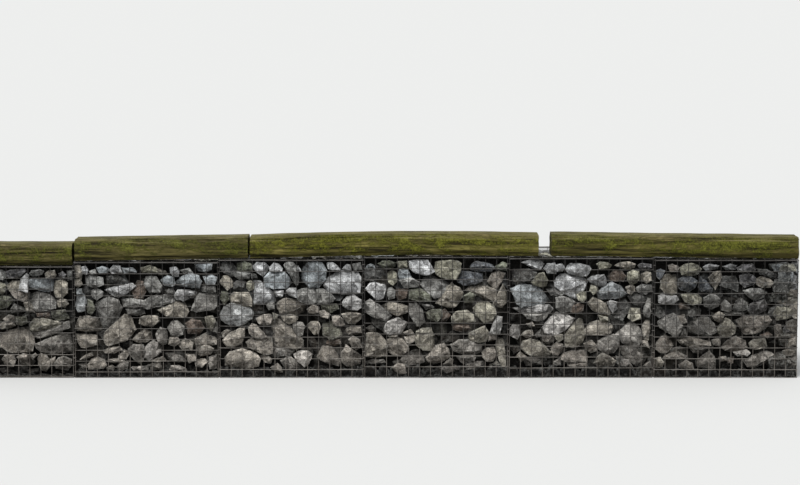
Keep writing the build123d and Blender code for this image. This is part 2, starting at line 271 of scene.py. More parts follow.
# Stones. Each line is one stone of a basket's face: its tone, and its outline in mesh cells,
# counted from the top left wire to the right and down
stoneFaces = {
    1: """
grey 6.05,.55 6.4,.3 6.8,.4 6.95,.85 6.6,1.2 6.1,1.1
plum 6.9,.5 7.3,.3 8.6,.2 8.7,.4 8.3,.8 7.7,1 7.3,1 7,.7
grey 9.1,.6 9.3,.35 10,.25 10.4,.4 10.2,.7 9.7,.9 9.2,.8
brown 10.5,.6 10.8,.35 11.3,.35 11.5,.75 11.2,1.05 10.6,1
plum 11.7,.6 12.1,.4 12.4,.7 12.2,1.1 11.8,.9
dark 12.45,.4 12.95,.3 12.95,1.2 12.5,1.3
white 8.05,1.9 8.3,1.1 8.7,.7 8.95,.8 8.98,1.7 8.9,2.3 8.1,2.1
tan 6.9,1.8 7.5,1.3 8.15,1.3 8,2 7.9,2.5 7.4,2.4
pink 7.4,2.3 8,2.1 9,2.35 8.9,2.9 8.5,3.25 8.2,3.1 7.7,2.8
blue 9,1.3 9.3,1.1 11.2,1.15 11.3,1.3 11.15,2.2 10.6,2.3 9.9,2.1 9,1.85
tan 11.35,1.3 12.1,1.2 12.5,1.5 12.5,2.4 12,2.8 11.5,2.8 11.25,2.4
tan 11.5,3.15 11.9,2.9 12.4,3 12.6,3.4 12.3,3.7 11.7,3.65
grey 9,3.4 9.2,2.6 9.7,2.3 10.5,2.5 11.1,2.8 11.4,3.3 11.3,3.8 10.9,3.9 10,4.1 9.3,4
mossy 6.05,2.9 6.6,2.6 7.3,2.8 7.5,3.1 7,3.7 6.1,3.9
olive 6.05,1.7 6.4,1.4 6.85,1.6 6.9,2.1 6.6,2.5 6.1,2.3
dark 7.3,3.8 7.7,3.4 8.4,3.8 8.7,4.1 8,4.25 7.4,4.2
brown 8.5,3.3 9,3.2 9.2,4 9.5,4.2 8.8,4.2
mossy 11,4.1 12.2,3.9 12.6,4.7 11.7,4.9 11.1,4.7
red 9.6,4.3 10.8,4.2 10.9,4.7 9.7,4.6
pink 6.6,4.8 7.1,4.4 7.6,4.5 7.7,4.9 7,5.05
brown 6.1,5.4 6.6,5.05 7.5,5.1 7.7,5.4 7.3,5.6 6.5,5.7
mossy 7.75,4.6 8.7,4.6 8.8,5.1 8.2,5.4 7.8,5.2
olive 9,5.3 9.4,4.8 10.2,4.75 11.2,5.1 11.9,5.1 11.6,5.5 10.4,5.7 9.3,6 9.05,5.8
grey 9.4,6.1 10.4,5.8 11.6,5.6 12.5,5 12.6,5.6 11.6,6 10.6,6.4 9.9,6.6 9.5,6.5
brown 6.3,6.3 7,5.9 8,5.7 8.7,5.6 8.95,6 9.3,6.5 9.35,7 9.2,7.7 8.3,7.85 7.2,7.8 6.4,7.3
grey 9.5,7.1 10.2,6.9 11,6.6 12,6.1 12.55,6.2 12.7,7 12.7,7.8 11.5,8 10,7.8 9.7,7.5
brown 6.5,8.5 6.7,8.1 7.5,8.1 7.7,8.6 7.5,9.1 6.9,9.2
brown 7.8,8.3 8.4,8 9.1,8.2 9.4,8.8 9,9.2 8.2,9
brown 9.05,8.2 9.5,7.9 9.7,8.1 9.3,8.5
tan 9.7,8.4 10,8 10.5,8.1 10.8,8.6 10.8,9.2 10.4,9.55 10,9.4 9.8,9
grey 11.2,8.9 11.6,8.4 12.1,8.2 12.7,8.5 12.8,9 12.4,9.5 11.8,9.4 11.4,9.3
brown 10.75,8.5 11.3,8.3 11.2,9.1 10.9,9.1
deep 6.1,9.4 7,9.3 7.5,9.6 6.5,9.8
deep 8.7,9.5 9.8,9.4 9.9,9.9 8.8,9.9
deep 10.9,9.6 12.1,9.6 12.8,9.9 11,10
""",
    2: """
brown 0,.3 .5,.3 .7,.9 .6,1.5 .1,1.4
pale .6,.4 1,.3 1.25,.7 1.1,1.1 .75,1
grey 1.3,.8 1.9,.6 2,1 1.5,1.15
blue 2,.5 2.5,.35 3.1,.6 3,.95 2.2,.95
pale 3.1,.7 3.5,.25 4.1,.3 4.3,.9 3.4,1
blue 4.3,.5 5.3,.5 5.6,.9 4.5,1
olive 6,.5 6.8,.3 7.4,.5 7.6,.9 6.6,1 6.1,.9
brown 7.5,.6 8.3,.8 8.4,1.1 7.7,1.1
pale 8.6,.5 9.2,.4 9.5,.8 9.4,1.3 8.9,1.25 8.7,.9
grey 9.6,.7 10.4,.5 10.7,.9 9.9,.95
blue 10.9,.2 12.5,.15 12.4,.6 11.9,.95 11.3,.8
brown -.1,1.6 .5,1.5 .7,2 .3,2.3 0,2.1
grey 1,1.3 1.6,1.2 2.5,1.4 2.6,2 1.8,2.3 1.1,2.1
dark 2.9,1.25 3.8,1.2 4.6,1.5 4.9,1.8 4.3,2 3.2,1.9 3,1.6
pale 2.7,2.55 3.4,2.3 4.6,2.15 5.2,1.95 5.5,2.2 4.6,2.9 4,3.15 3.6,3.1 3.2,2.8
red 5.1,2.6 5.6,1.7 6.2,1.8 6.4,2.6 6.2,3.3 5.4,3.3
grey 6.4,1.4 7.4,1.3 7.9,2.1 7.8,2.7 6.8,2.8 6.3,2.2
blue 7.8,1.6 8.4,1.2 9,1.35 9.1,1.9 8.9,2.2 8.2,2.1
blue 9.2,1.8 9.7,1.3 10.5,1 11.2,1.2 11.5,1.7 11.3,2.3 10.4,2.3 9.4,2.1
blue 11.7,1.3 12.5,1.1 12.9,1.4 12.7,2 12,2
dark 11.4,2.3 12,2.1 12.7,2.2 12.8,2.7 11.6,2.7
dark 8.2,2.5 8.9,2.4 9.1,2.8 8.5,3
pale 9,3 9.4,2.55 10.1,2.5 11,2.7 11.1,3 10.6,3.2 9.9,3.5 9.3,3.4
grey 10.6,4.3 10.9,3.5 11.3,2.9 12.8,2.9 12.85,4 12.6,4.3 11.6,4.4 11,4.5
blue .1,2.4 .6,2.4 .7,2.8 .2,2.9
blue .2,3.1 .8,2.9 1,3.5 .9,4.4 .3,4.5 0,3.9
grey 1.4,2.6 2,2.4 2.6,2.7 2.5,3.1 2,3.4 1.6,3.2
grey 1.9,3.9 2.3,3.5 3.1,3.2 3.9,3.5 4.2,4.2 3.8,5.2 3,6 2.5,6 2.1,4.9
mossy 1.1,3.4 1.6,3.6 1.8,4.3 1.5,4.8 1.1,4.6
grey 4.2,3.4 5,3.3 6.3,3.5 6.4,3.9 5.3,4.2 4.4,4.1
dark 4.6,4.3 5.4,4.15 6.2,4.2 6.3,4.7 5.6,4.85 4.8,4.7
grey 6.3,3.5 6.9,3.1 8.9,2.9 9,3.6 8,3.9 7,4 6.6,4.3 6.3,4.2
tan 7.6,4.4 8.6,4 9.2,3.6 9.9,3.8 10.3,4.5 10.1,5 9.1,5 8.3,4.9
brown .05,5.8 .4,5 1,4.9 2,5.1 2.4,5.9 2.3,6.25 1,6.35 .2,6.2
tan 2.6,7 2.7,6.4 3.5,5.9 4.4,4.85 4.95,5 5.4,6.2 4.9,6.7 4.6,7.1 3.8,7.2 3.1,7.6 2.8,7.5
tan 5.85,5.6 5.95,5 6.6,4.85 7.5,4.9 7.6,5.4 7.1,5.8 6.4,5.8
grey 8.4,6 8.8,5.4 9.4,5.4 9.9,5.9 9.8,6.6 9.2,6.8 8.7,6.6
red 10,5.6 10.6,5.2 11.4,5.4 11.7,6 11.3,6.6 10.3,6.5
olive 11.8,5 12.5,4.9 12.8,5.4 12.4,6.2 12,6
dark 12.1,5.9 12.9,5.5 12.9,6.5 12.3,6.4
brown 5.2,7.1 5.7,6.5 6.3,6.1 6.8,6.4 7,7 6.5,7.3 5.6,7.3
grey 7.3,6.6 7.7,6 8.2,6.1 8.4,6.8 8.3,7.4 7.9,7.6 7.5,7.3
brown 0,6.6 .9,6.6 1.9,6.7 1.9,7.5 .9,7.9 .5,7.8 .2,7.3
deep 2,6.9 2.5,7.1 2.7,7.8 2.1,8.1 1.8,7.7
brown 8.6,6.9 9.3,6.9 9.6,7.4 9,7.7 8.5,7.5
tan 9.3,7.5 10,7 10.7,7.4 10.6,8.1 9.8,8
brown 10.9,7 11.9,6.5 12.8,7 12.8,7.5 12.2,7.6 11,7.5
tan 11,8.2 11.1,7.6 12,7.6 12.6,7.9 12.3,8.4 11.4,8.6
grey 4.8,7.9 5.3,7.5 6.2,7.6 6.3,8.2 6.1,9 5.8,9.3 5.3,8.9 4.9,8.4
pale 6.3,8 6.6,7.5 7.1,7.2 7.8,7.8 7.7,8.3 7.2,8.7 6.7,9 6.3,8.7
tan 2.5,8.1 3,7.8 4,7.7 4.2,8 3.5,8.3 2.7,8.3
brown 3.9,8.5 4.4,8 4.9,8.3 4.6,8.8 4,8.9
deep 1.9,8.3 3,8.4 3.4,8.7 2.8,8.9 2,8.7
brown .4,8.9 1,8.4 1.5,8.2 1.6,8.5 .8,8.9
tan 1.1,9.4 1.4,8.9 2,8.7 2.6,8.9 2.8,9.4 2.5,9.7 1.6,9.8 1.2,9.8
dark .2,9.4 .9,9.2 1,9.7 .4,9.8
brown 2.9,8.9 3.9,8.8 4.4,9 3.8,9.2 3,9.2
brown 2.8,9.6 3.3,9.4 3.6,9.6 3.4,9.9 2.9,9.9
pale 3.6,9.6 4.3,9.1 4.8,9.2 4.7,9.7 4.2,9.95 3.8,9.8
pale 5.1,9.6 5.7,9.6 6.6,9.5 6.6,9.9 5.9,10 5.3,9.9
brown 6.6,9.4 7.2,9.2 7.7,9.2 7.8,9.8 6.9,9.9
dark 8,8.4 8.8,8.3 9.7,8.6 9.9,9.1 8.9,9.2 8.4,8.9
pale 8.5,9.9 8.7,9.5 9.4,9.5 10,9.7 10.1,10 9,10
brown 10,8.4 10.9,8.5 11,9 10.3,9.2
tan 10.9,9 11.6,8.8 12,9.1 11.5,9.6 11,9.5
grey 12.1,8.7 12.8,8.5 12.8,9.7 12.2,9.8
deep 10.3,9.5 11,9.6 11.9,9.7 11.8,10 10.5,10
brown 6.9,9 7.9,8.6 8.2,9 7.4,9.2
""",
    3: """
dark .05,.8 .25,.3 .85,.2 1.2,.4 1.5,.8 1.45,1.35 1.1,1.5 .35,1.2
mossy 1.55,.3 2.3,.15 2.9,.4 2.95,.95 2.2,1.15 1.6,1
grey 1.3,1.45 1.6,1.1 2.8,1.2 2.7,1.7 1.8,1.75
grey 2.85,1.2 3.3,1.3 3.4,1.6 2.9,1.65
pale 3,.55 3.4,.2 4.05,.25 4.5,.6 4.35,1 3.95,1.45 3.4,1.05
pale 4.55,.65 4.9,.3 5.3,.35 5.7,.8 5.6,1.05 4.6,1
grey 5.85,.5 6.2,.2 6.7,.25 7.05,.7 7.2,1.6 7.1,2.2 6.9,2.25 6.4,1.3
pale 6.95,.9 7.15,.5 7.4,1.05
blue 7.45,.95 7.9,.3 8.6,.1 9.3,.35 9.65,1 9.6,1.8 9,2.4 8.2,2.5 7.5,1.9
pale 9.75,.25 10.3,.25 10.75,.55 11,.9 10.3,1 9.85,.75
pale 9.6,1.85 10.3,1.4 10.9,1.05 11.4,1.1 12.5,1.15 12.75,1.6 12.7,2.9 12.2,3.1 11,3.05 9.9,2.9 9.55,2.4
pale 11.15,.85 11.5,.4 11.85,.45 12,.95 11.3,1
dark 12.1,.4 12.8,.25 12.95,.9 12.2,1
blue 4.1,1.6 4.6,1.15 5.9,1.15 6.3,1.6 6.45,2.1 6.1,2.55 4.9,2.6 4.2,2.35
tan -.05,2 .35,1.5 .75,1.5 1.15,1.95 1.15,2.45 .7,2.75 .15,2.3
dark 1.25,2.15 1.6,1.9 2.3,1.95 2.4,2.6 2,2.75 1.3,2.7
olive 2.45,2.1 2.8,1.85 3.1,2.1 3.05,2.6 2.7,2.8 2.45,2.5
pale 3.15,1.95 3.7,2 4.2,2.5 4.85,2.95 4.95,3.8 4.1,3.95 3.15,3.95 3.35,3
grey 4.1,4 4.95,3.85 4.9,4.5 4.5,4.6
pale 4.95,2.85 5.8,2.8 5.75,3.3 5.5,3.45 5.15,3.3
pale 6.05,2.85 6.3,2.55 6.9,2.55 7.1,3 7,3.4 6.3,3.2
grey 6.95,2.9 7.5,2.65 8.5,2.6 8.8,3 8.75,3.9 8.2,4.05 7.2,3.7 7.05,3.3
grey 8.85,2.7 9.4,2.65 10.2,3.2 10.5,3.55 10.3,3.75 9.8,3.95 9,3.95
pale 11.15,3.9 11.6,3.4 12.2,3.2 12.8,3.6 12.85,4.3 12.5,4.55 11.7,4.5 11.2,4.25
brown 5.2,4 5.8,3.55 7,3.6 7.8,4 7.6,4.75 6.9,4.98 5.5,4.95 5.35,4.5
tan 5.5,5.05 6.6,5 7.1,5.2 6.9,5.65 6.3,5.85 5.8,5.6
pink 7.95,4.5 8.4,4.15 9,4.3 8.95,4.8 8.1,4.9
pink 9.05,4.7 9.7,4.5 10,5 9.8,5.3 9.2,5.15
mossy 9.2,4.1 10.6,4 10.8,4.5 10,4.85 9.3,4.5
tan 11.1,5 11.8,4.75 12.8,4.9 12.8,5.4 12.3,5.85 11.7,5.8 11.3,5.4
pink 10.2,5.2 10.7,5.1 11.2,5.4 11.35,5.9 11,6.1 10.3,5.9
tan .9,3.3 1.3,3 2.6,3 2.9,3.6 2.8,4.2 2,4.3 1,3.9
blue .1,5 .4,4.3 1,4 2.6,4.3 3,4.9 2.9,5.4 2,5.9 .9,6 .2,5.5
mossy .1,2.9 .7,2.9 .8,3.6 .4,4.1 .05,3.6
deep 3.1,4.2 3.7,4.1 4,4.7 3.5,4.9 3.1,4.75
pink 3.3,5.4 4,5 4.6,4.95 4.8,5.3 4.6,5.8 4,5.95 3.5,5.75
olive 4.8,4.85 5.3,5 5.2,5.3 4.9,5.4
grey 6.65,5.9 7,5.65 7.5,5.75 7.7,6.1 7.5,6.8 7.1,6.95 6.75,6.5
tan 7.95,6 8.3,5.7 8.9,5.65 9.15,6.2 8.9,6.8 8.6,6.9 8.2,6.4
mossy 9.3,5.9 10.2,5.6 11,6.2 11.1,6.9 10.2,7.3 9.4,6.9
brown 11.2,6.5 11.9,6.1 12.8,6.2 12.9,6.7 12.2,6.9 11.5,6.85
brown 11.7,7.3 12.1,7 12.8,7.3 12.9,7.9 12.4,8.25 12,7.9
brown 4.7,5.8 5.2,5.4 5.8,5.75 6.5,6.6 7.5,7.3 7.5,7.9 6.9,8.2 5,8 4.7,7
dark 5,8.1 6.9,8.25 6.7,8.6 6.2,8.9 5.2,9
tan .2,7.4 .9,6.7 1.7,6.35 2.2,6.3 2.2,7 1.9,7.7 1.2,8 .6,7.95
brown .05,6.7 .6,6.4 .9,6.5 .3,7.1
pink 2.6,6.2 2.9,5.9 3.3,6 3.9,6.6 4.2,7 3.8,7.2 3,7.1 2.7,6.7
brown 2.4,7.6 2.9,7.2 4.1,7.3 4.6,7 4.75,7.9 4.7,8.6 4,8.7 3.3,8.3 2.6,8
tan .45,9 .9,8.5 2,8.2 3.2,8.6 3.6,9.1 3.4,9.7 2.4,10 1.4,9.95 .5,9.7
brown 3.6,8.8 4.3,8.7 4.7,9.1 4.6,9.5 4,9.4
pale 6.7,8.7 7.2,8.4 8,8.4 8.4,8.65 8.1,9.5 7.7,9.8 7.2,9.4
grey 5.5,9.3 6.3,8.8 6.8,9.2 7.6,9.9 7.7,10.2 6.2,10.3 5.8,9.8
pink 4.6,9.9 5.2,9.5 5.6,9.9 5.7,10.3 5,10.2
brown 8.9,8.9 9.3,8 10,7.8 10.6,8.4 10.9,9.2 10.8,9.7 9.9,9.5 9.2,9.2
brown 11.1,8.5 11.5,7.8 12.3,8.4 12.85,8.9 12.7,9.5 11.6,9.8 11.1,9.4
deep 8,7.2 8.5,7.1 8.9,7.7 8.7,8.3 8.2,8
red 9.2,7.4 10.8,7.3 11,7.7 10.4,7.9 9.3,7.8
deep 8.3,9.6 9.2,9.4 10.2,9.7 10.9,9.9 10.6,10.4 8.7,10.4
""",
    4: """
blue 0,1.1 .25,.65 .8,.65 .95,1.05
dark -.05,1.3 .4,1.1 1.9,1.25 1.95,2.1 .1,2.15
white .1,2.9 .5,2.4 1.2,2.3 1.9,2.35 1.9,3 1.7,3.7 1.1,3.85 .7,3.3
blue 3,1.6 3.2,1.05 3.9,1.1 4.2,1.8 3.2,2
grey 3.2,2.1 4.2,1.85 5,2.3 4.8,2.7 3.6,2.8
mossy 1.2,.6 1.6,.35 2.2,.3 2.8,.5 2.75,.85 2.3,1.1 1.6,1
olive 2.1,1.45 2.5,1.2 2.9,1.5 2.95,2.2 2.6,2.6 2.15,2.3
grey 2.1,2.9 2.5,2.75 2.75,3.1 2.7,3.7 2.2,3.85 2.05,3.4
olive 2.9,.4 3.8,.35 3.85,.9 3.1,.95
white 4,.4 4.6,.25 5.7,.3 6,.7 6.3,1.3 5.9,1.55 5.3,1.6 4.7,1.45 4.2,1.1
olive 6.4,1.3 6.5,.5 7,.35 8.3,.3 8.7,.6 8.7,1.2 8.3,1.95 7.5,1.95 6.6,1.65
slate 8.3,1.8 8.8,1.3 9.8,1.4 10.7,1.5 10.6,2.2 10,2.45 9,2.6 8.5,2.3
slate 9.6,.9 10.1,.4 11.1,.5 11.8,.9 11.5,1.3 10.3,1.35 9.7,1.2
mossy 11.9,.8 12.6,.4 12.95,.6 12.9,1.2 12.1,1.1
pink 11.2,2.2 11.6,1.5 12.2,1.3 12.8,1.5 12.5,2.2 12,2.9 11.5,2.6
grey 5.1,2.5 5.4,1.9 6,1.7 6.9,2.1 7.6,2.4 7.4,3 6.9,3.6 6.3,3.7 5.6,3.1
red 2.8,3 3.4,2.7 3.9,2.9 3.8,3.7 3.1,3.9 2.85,3.5
mossy 4,3 5,2.9 6,3.4 6,4 5,4 4.1,3.8
tan 6.5,4.2 7.1,3.6 7.5,2.8 7.9,2.4 8.6,2.9 8.9,3.3 8.6,4.2 8.2,4.6 7.6,4.6 6.9,4.4
brown 9.2,2.9 9.9,2.6 11.1,2.6 11.9,3 12,3.5 11.6,3.95 10.7,3.8 10.2,3.3 9.3,3.1
mossy 8.9,3.6 9.6,3.2 10.1,3.5 9.9,4.1 9.1,4.2
tan 11.9,4.1 12.1,3.4 12.6,2.5 12.9,3.2 12.9,4.2 12.5,4.6 12,4.5 11.7,4.3
olive 9.9,4.7 10.2,4.2 11.1,4.1 11.8,4.5 11.9,5.2 11.6,5.8 10.9,6 10.5,5.6 10.1,5.3
grey -.05,4.9 0,4.2 .5,3.9 1,4.2 1.5,4.5 1.9,5.1 2.4,5.4 1.9,5.9 1.3,5.8 .5,5.3
tan 1.6,4.5 2.4,4.1 3.2,4.3 3.9,4.5 3.8,5 3,5.4 2.4,5.2 2,4.9
grey 4,4.9 4.1,4.3 4.7,4.2 5.2,4.9 5.5,5.9 5,6.3 4.7,6.3 4.2,5.4
dark 5.2,4.3 6.1,4.4 6.3,4.6 5.6,4.8
mossy 5.6,5.1 6.2,4.8 7,4.8 7.1,5.4 6.6,5.9 5.8,5.7
red 6.9,5 7.3,4.7 7.8,5.3 7.5,5.8 7,5.9
olive 7.9,5.5 8.3,5 9.3,4.9 9.9,5.3 10,5.9 8.9,5.95 7.95,6
pale 1.8,6.5 2.1,5.9 3,5.6 3.8,6 3.6,6.6 3.2,7 2.2,7.1 1.8,6.9
dark .1,6.5 .6,6.2 1,6.6 .6,6.9
brown 3.5,6.9 4.2,6.6 4.5,7 3.9,7.2
olive 4.7,6.8 5.3,6.5 6,6.5 6.2,7 4.8,7.05
olive 4.6,7.4 4.8,7.1 6.3,7.1 6.3,8.1 6.1,8.6 5.3,8.5 4.7,8.1
brown 3.6,7.3 4.6,7.1 4.6,7.6 4.1,7.9 3.8,7.8
tan .2,7 .7,6.9 1.4,7.1 1.9,7.7 2,8.2 2,9.1 .2,9.1 .1,8.2
brown 2.1,7.6 2.6,7.4 3.4,7.5 3.9,8.1 4,8.6 3.4,9 2.6,9 2.2,8.7
brown 2.1,7.25 3,7.15 2.9,7.35 2.3,7.4
dark 3.3,9.4 3.6,9 4.3,8.6 5,8.5 5.2,9.2 5.4,9.6 4.6,9.9 3.7,9.9
brown 5.6,9.2 6.2,8.8 6.5,8.1 7.2,7.9 7.7,8.6 7.7,9.2 7.2,9.5 6.3,9.8 5.8,9.6
deep 6.9,7.1 7.9,6.9 8.4,7.3 7.8,7.7 7,7.6
deep 6.3,6 7.4,5.9 7.5,6.4 6.6,6.5
red 8,6.2 9,6 10,6.1 10.1,6.6 9,6.9 8.1,6.7
grey 7.9,8 8.6,7.6 9.5,7.6 10.6,7.9 10.6,8.6 10.2,8.9 8.9,8.9 8.2,8.6
dark 8.3,9.1 8.9,9 10.1,9 10,9.5 9,9.8 8.6,9.5
olive 9.5,7 10.2,6.8 10.9,6.3 11.3,6.9 11.1,7.7 10.3,7.8 9.6,7.6
blue 11.4,6.9 11.7,6.3 12,5.4 12.5,5.5 12.5,6.3 12.3,6.9 11.8,7
pink 11.2,7.1 11.9,7.1 12,7.6 11.3,7.7
brown 10.7,8.8 11.2,8.3 11.8,8.3 12,8.8 11.7,9.5 11.2,9.6 10.8,9.2
olive 11.9,8.1 12.2,7.5 12.7,7.6 12.8,8.6 12.85,9.9 12.5,10 12.2,9.2
dark 9.2,9.8 9.8,9.6 10.8,9.6 10.9,10.3 10,10.4 9.3,10.3
mossy 11.4,9.9 12,9.6 12.4,9.9 12.7,10.3 12,10.5 11.4,10.4
tan 2.5,10.1 3,9.8 3.7,9.8 3.9,10.6 3.2,10.7 2.8,10.4
dark .1,9.6 .7,9.4 1.7,9.4 1.9,9.7 1,9.9 .2,9.9
plum 6.8,10.2 7.4,9.9 8.3,9.9 8.6,10.3 7.5,10.6
deep 4.6,10.1 5.9,10 6.5,10.5 5,10.8
brown 7.8,9.2 8.1,9.4 7.9,9.8 7.2,9.8
""",
    5: """
pale 1.1,.35 1.6,.2 2.7,.1 3.1,.5 2.8,1 2.3,.95 1.6,.6
pale 3.1,.9 3.4,.5 4.1,.45 4.3,.9 4.2,1.4 3.5,1.35
pale 4.2,.6 4.8,.5 5,.9 4.8,1.15 4.3,1.2
pale 5.1,1 5.5,.5 6.3,.5 7.2,.7 7.35,1 7,1.6 6.3,1.6 5.4,1.4
olive 7.9,.5 8.3,.3 8.9,.4 9.3,.6 9,.9 8.2,.95
dark .1,1.3 .4,1 1.8,1 2.4,1.3 2.3,1.8 1.3,2.2 .3,2.4 .05,2
olive 2,2.2 2.6,1.4 3.1,1.3 3.5,2 3.3,2.6 2.5,2.55
white 4.1,2.1 4.7,1.5 5.4,1.5 6.7,1.75 7,2.2 6.8,2.8 6.3,3 6.1,3.6 5.5,3.5 4.6,2.9 4.2,2.6
pale 7.1,1.9 7.5,1.6 8.6,1.5 8.8,2 8.7,2.5 8.3,2.6 7.5,2.3
red 9,1.7 9.5,1.1 10.3,1.2 10.6,1.7 10.3,2.1 9.2,2.1
brown 9.6,.65 10.1,.35 10.9,.3 11.4,.5 11.3,.85 10.5,.95
plum 11.6,.6 12.1,.4 12.8,.5 12.9,.85 12.3,.95 11.8,.9
olive 10.7,1.3 11.2,1.05 11.7,1.2 11.85,1.7 11.6,2.2 11,2.35 10.7,1.9
tan 11.95,1.45 12.4,1.2 12.85,1.35 12.9,2 12.5,2.25 12,2.1
blue .2,2.8 1.2,2.4 2.5,2.6 2.9,2.9 3.2,3.5 3.6,3.9 3.1,4.1 1.1,4.45 .6,3.9
olive 7.4,2.4 8,2.6 8.1,3 7.6,3.3 7.3,2.9
blue 8,3.2 8.6,2.6 9.3,2.2 10,2.5 10.6,3.2 10.2,3.6 9.6,3.7 9,3.4 8.2,3.7
brown 10.55,2.6 11,2.4 11.4,2.55 11.4,3 11,3.3 10.7,3.1
grey 11.5,2.7 12.1,2.4 12.9,2.45 12.95,2.95 12.4,3.25 11.7,3.1
dark 10.8,3.5 11.3,3.2 12.1,3.3 12.4,3.8 12.1,4.3 11.4,4.3
grey 12.2,4.8 12.6,3.5 12.9,3.6 12.9,4.9 12.7,5.4 12.3,5.2
dark 3.4,2.9 4.1,2.7 5,3.1 4.7,3.4 3.8,3.4
grey 4.2,3.6 4.9,3.5 5.6,3.7 5.9,4 5.6,4.8 4.8,5 4.3,4.5
red 5.7,4.4 6.3,4.1 6.8,4.3 6.7,4.8 6.1,5.1 5.6,4.9
olive 6.1,3.35 6.5,3 6.95,3.1 7,3.6 6.7,4 6.25,3.8
pale .3,4.6 3.6,4.2 3.9,4.6 3.6,5.05 1.2,5.05
grey 1.3,5.1 3.5,5.1 3.2,5.6 2.6,5.75 1.7,5.5
deep .1,5.2 .9,5.1 1,5.8 .2,5.7
tan 7.1,4.1 7.6,3.6 8.3,3.9 8.8,4.2 9.2,5 9.2,5.3 8.8,5.4 8.1,4.9 7.5,4.7
pale 8.9,4 9.2,3.8 9.8,4 9.8,4.6 9.4,5 9.1,4.5
dark 9.8,3.9 10.6,3.8 10.9,4.3 10.9,4.8 10.3,5.7 9.6,5.4 9.4,5.1 9.9,4.6
olive 11,4.6 11.9,4.6 11.95,5.5 11.2,5.8 10.8,5.4
olive 8.1,5.2 9,5.4 9.1,5.8 8.3,5.7
pale 3.1,6.3 3.6,5.6 4.2,5 4.6,5 5.9,5.5 5.7,5.9 5.1,6.5 4.4,6.9 3.9,7 3.3,6.8
olive 5.1,7 5.8,6 6.3,5.6 6.7,5.7 6.8,6.5 6.9,7.1 6.7,7.7 6.2,8.1 5.2,8.1 5.1,7.6
tan 6.9,6.6 7.4,6 8,5.7 9.2,6 9.5,6.4 9.2,6.9 8.2,7.05 7.1,7 6.9,6.8
grey 9.7,7 10.3,6.5 11.1,5.8 11.8,6.3 12,6.8 12.1,7.4 11.8,7.9 11.1,8 10.4,7.7
tan 12.1,6.2 12.5,5.7 12.8,5.6 12.9,6.5 12.7,7.5 12.3,7.4 12.2,6.8
brown 12,7.5 12.6,7.6 12.8,8.3 12.3,8
grey 8.1,7.6 8.8,7.2 9.5,7 10,7.5 9.9,8.1 9.5,8.6 8.8,8.75 8.2,8.4 8,8
brown 6.8,7.8 7.5,7.5 7.9,7.9 7.9,8.5 7.4,8.6 6.9,8.3
grey 10,8.1 10.6,8 11.6,8.1 12.3,8.4 12.6,9 12.3,9.7 11.6,9.95 11.1,9.5 10.4,8.9 10.1,8.5
grey 12.2,9.9 12.9,9.4 12.95,10 12.4,10.1
pale 0,6.5 .3,6.1 .9,6.1 .9,7 .7,7.4 .1,7.1
brown 1.5,6 2.1,5.8 2.3,6.2 1.8,6.3
brown 1.1,7 1.5,6.6 2.1,6.6 2.2,7.1 1.6,7.3
dark 2.3,7 2.8,6.6 2.9,7.2 2.5,7.3
olive 1.1,8.2 1.3,7.6 1.9,7.4 2.7,7.6 3.2,8 3.8,8.6 3.7,8.9 2.8,9 1.7,8.8
pink 3,7.2 3.9,7.1 4,7.6 3.6,7.85 3.1,7.6
olive 4.1,7.1 4.5,6.9 4.9,7 4.9,7.4 4.4,7.6
pink 3.8,8.3 4.3,7.7 4.9,7.9 4.8,8.6 4.5,8.9 4,8.8
deep 0,8 .9,8 1,8.5 .4,8.8
brown .6,9 1,8.6 1.6,9 1.1,9.5
dark 1.2,9.2 3,9.1 3,9.8 1.6,9.9
pink 4.8,9 5,8.7 5.7,8.5 7,8.4 7.15,8.9 7,9.5 5.2,9.5 4.8,9.3
pink 5.3,9.6 7.1,9.55 7.1,10 5.9,10.05 5.4,9.9
dark 4,9.5 4.6,9.2 4.7,9.8 4.2,9.9
olive 7.8,9.6 8.2,8.9 8.6,8.7 9.2,9 9.7,9.4 9.5,9.9 8.1,10
plum 10.2,9.2 10.9,9.3 11.2,9.9 11.4,10.2 10.8,10.2 10.2,9.9
dark 1.3,10.2 2.9,10.1 2.9,10.5 1.6,10.6
dark 9.7,8.9 10.1,9.1 10,9.8 9.8,9.6
""",
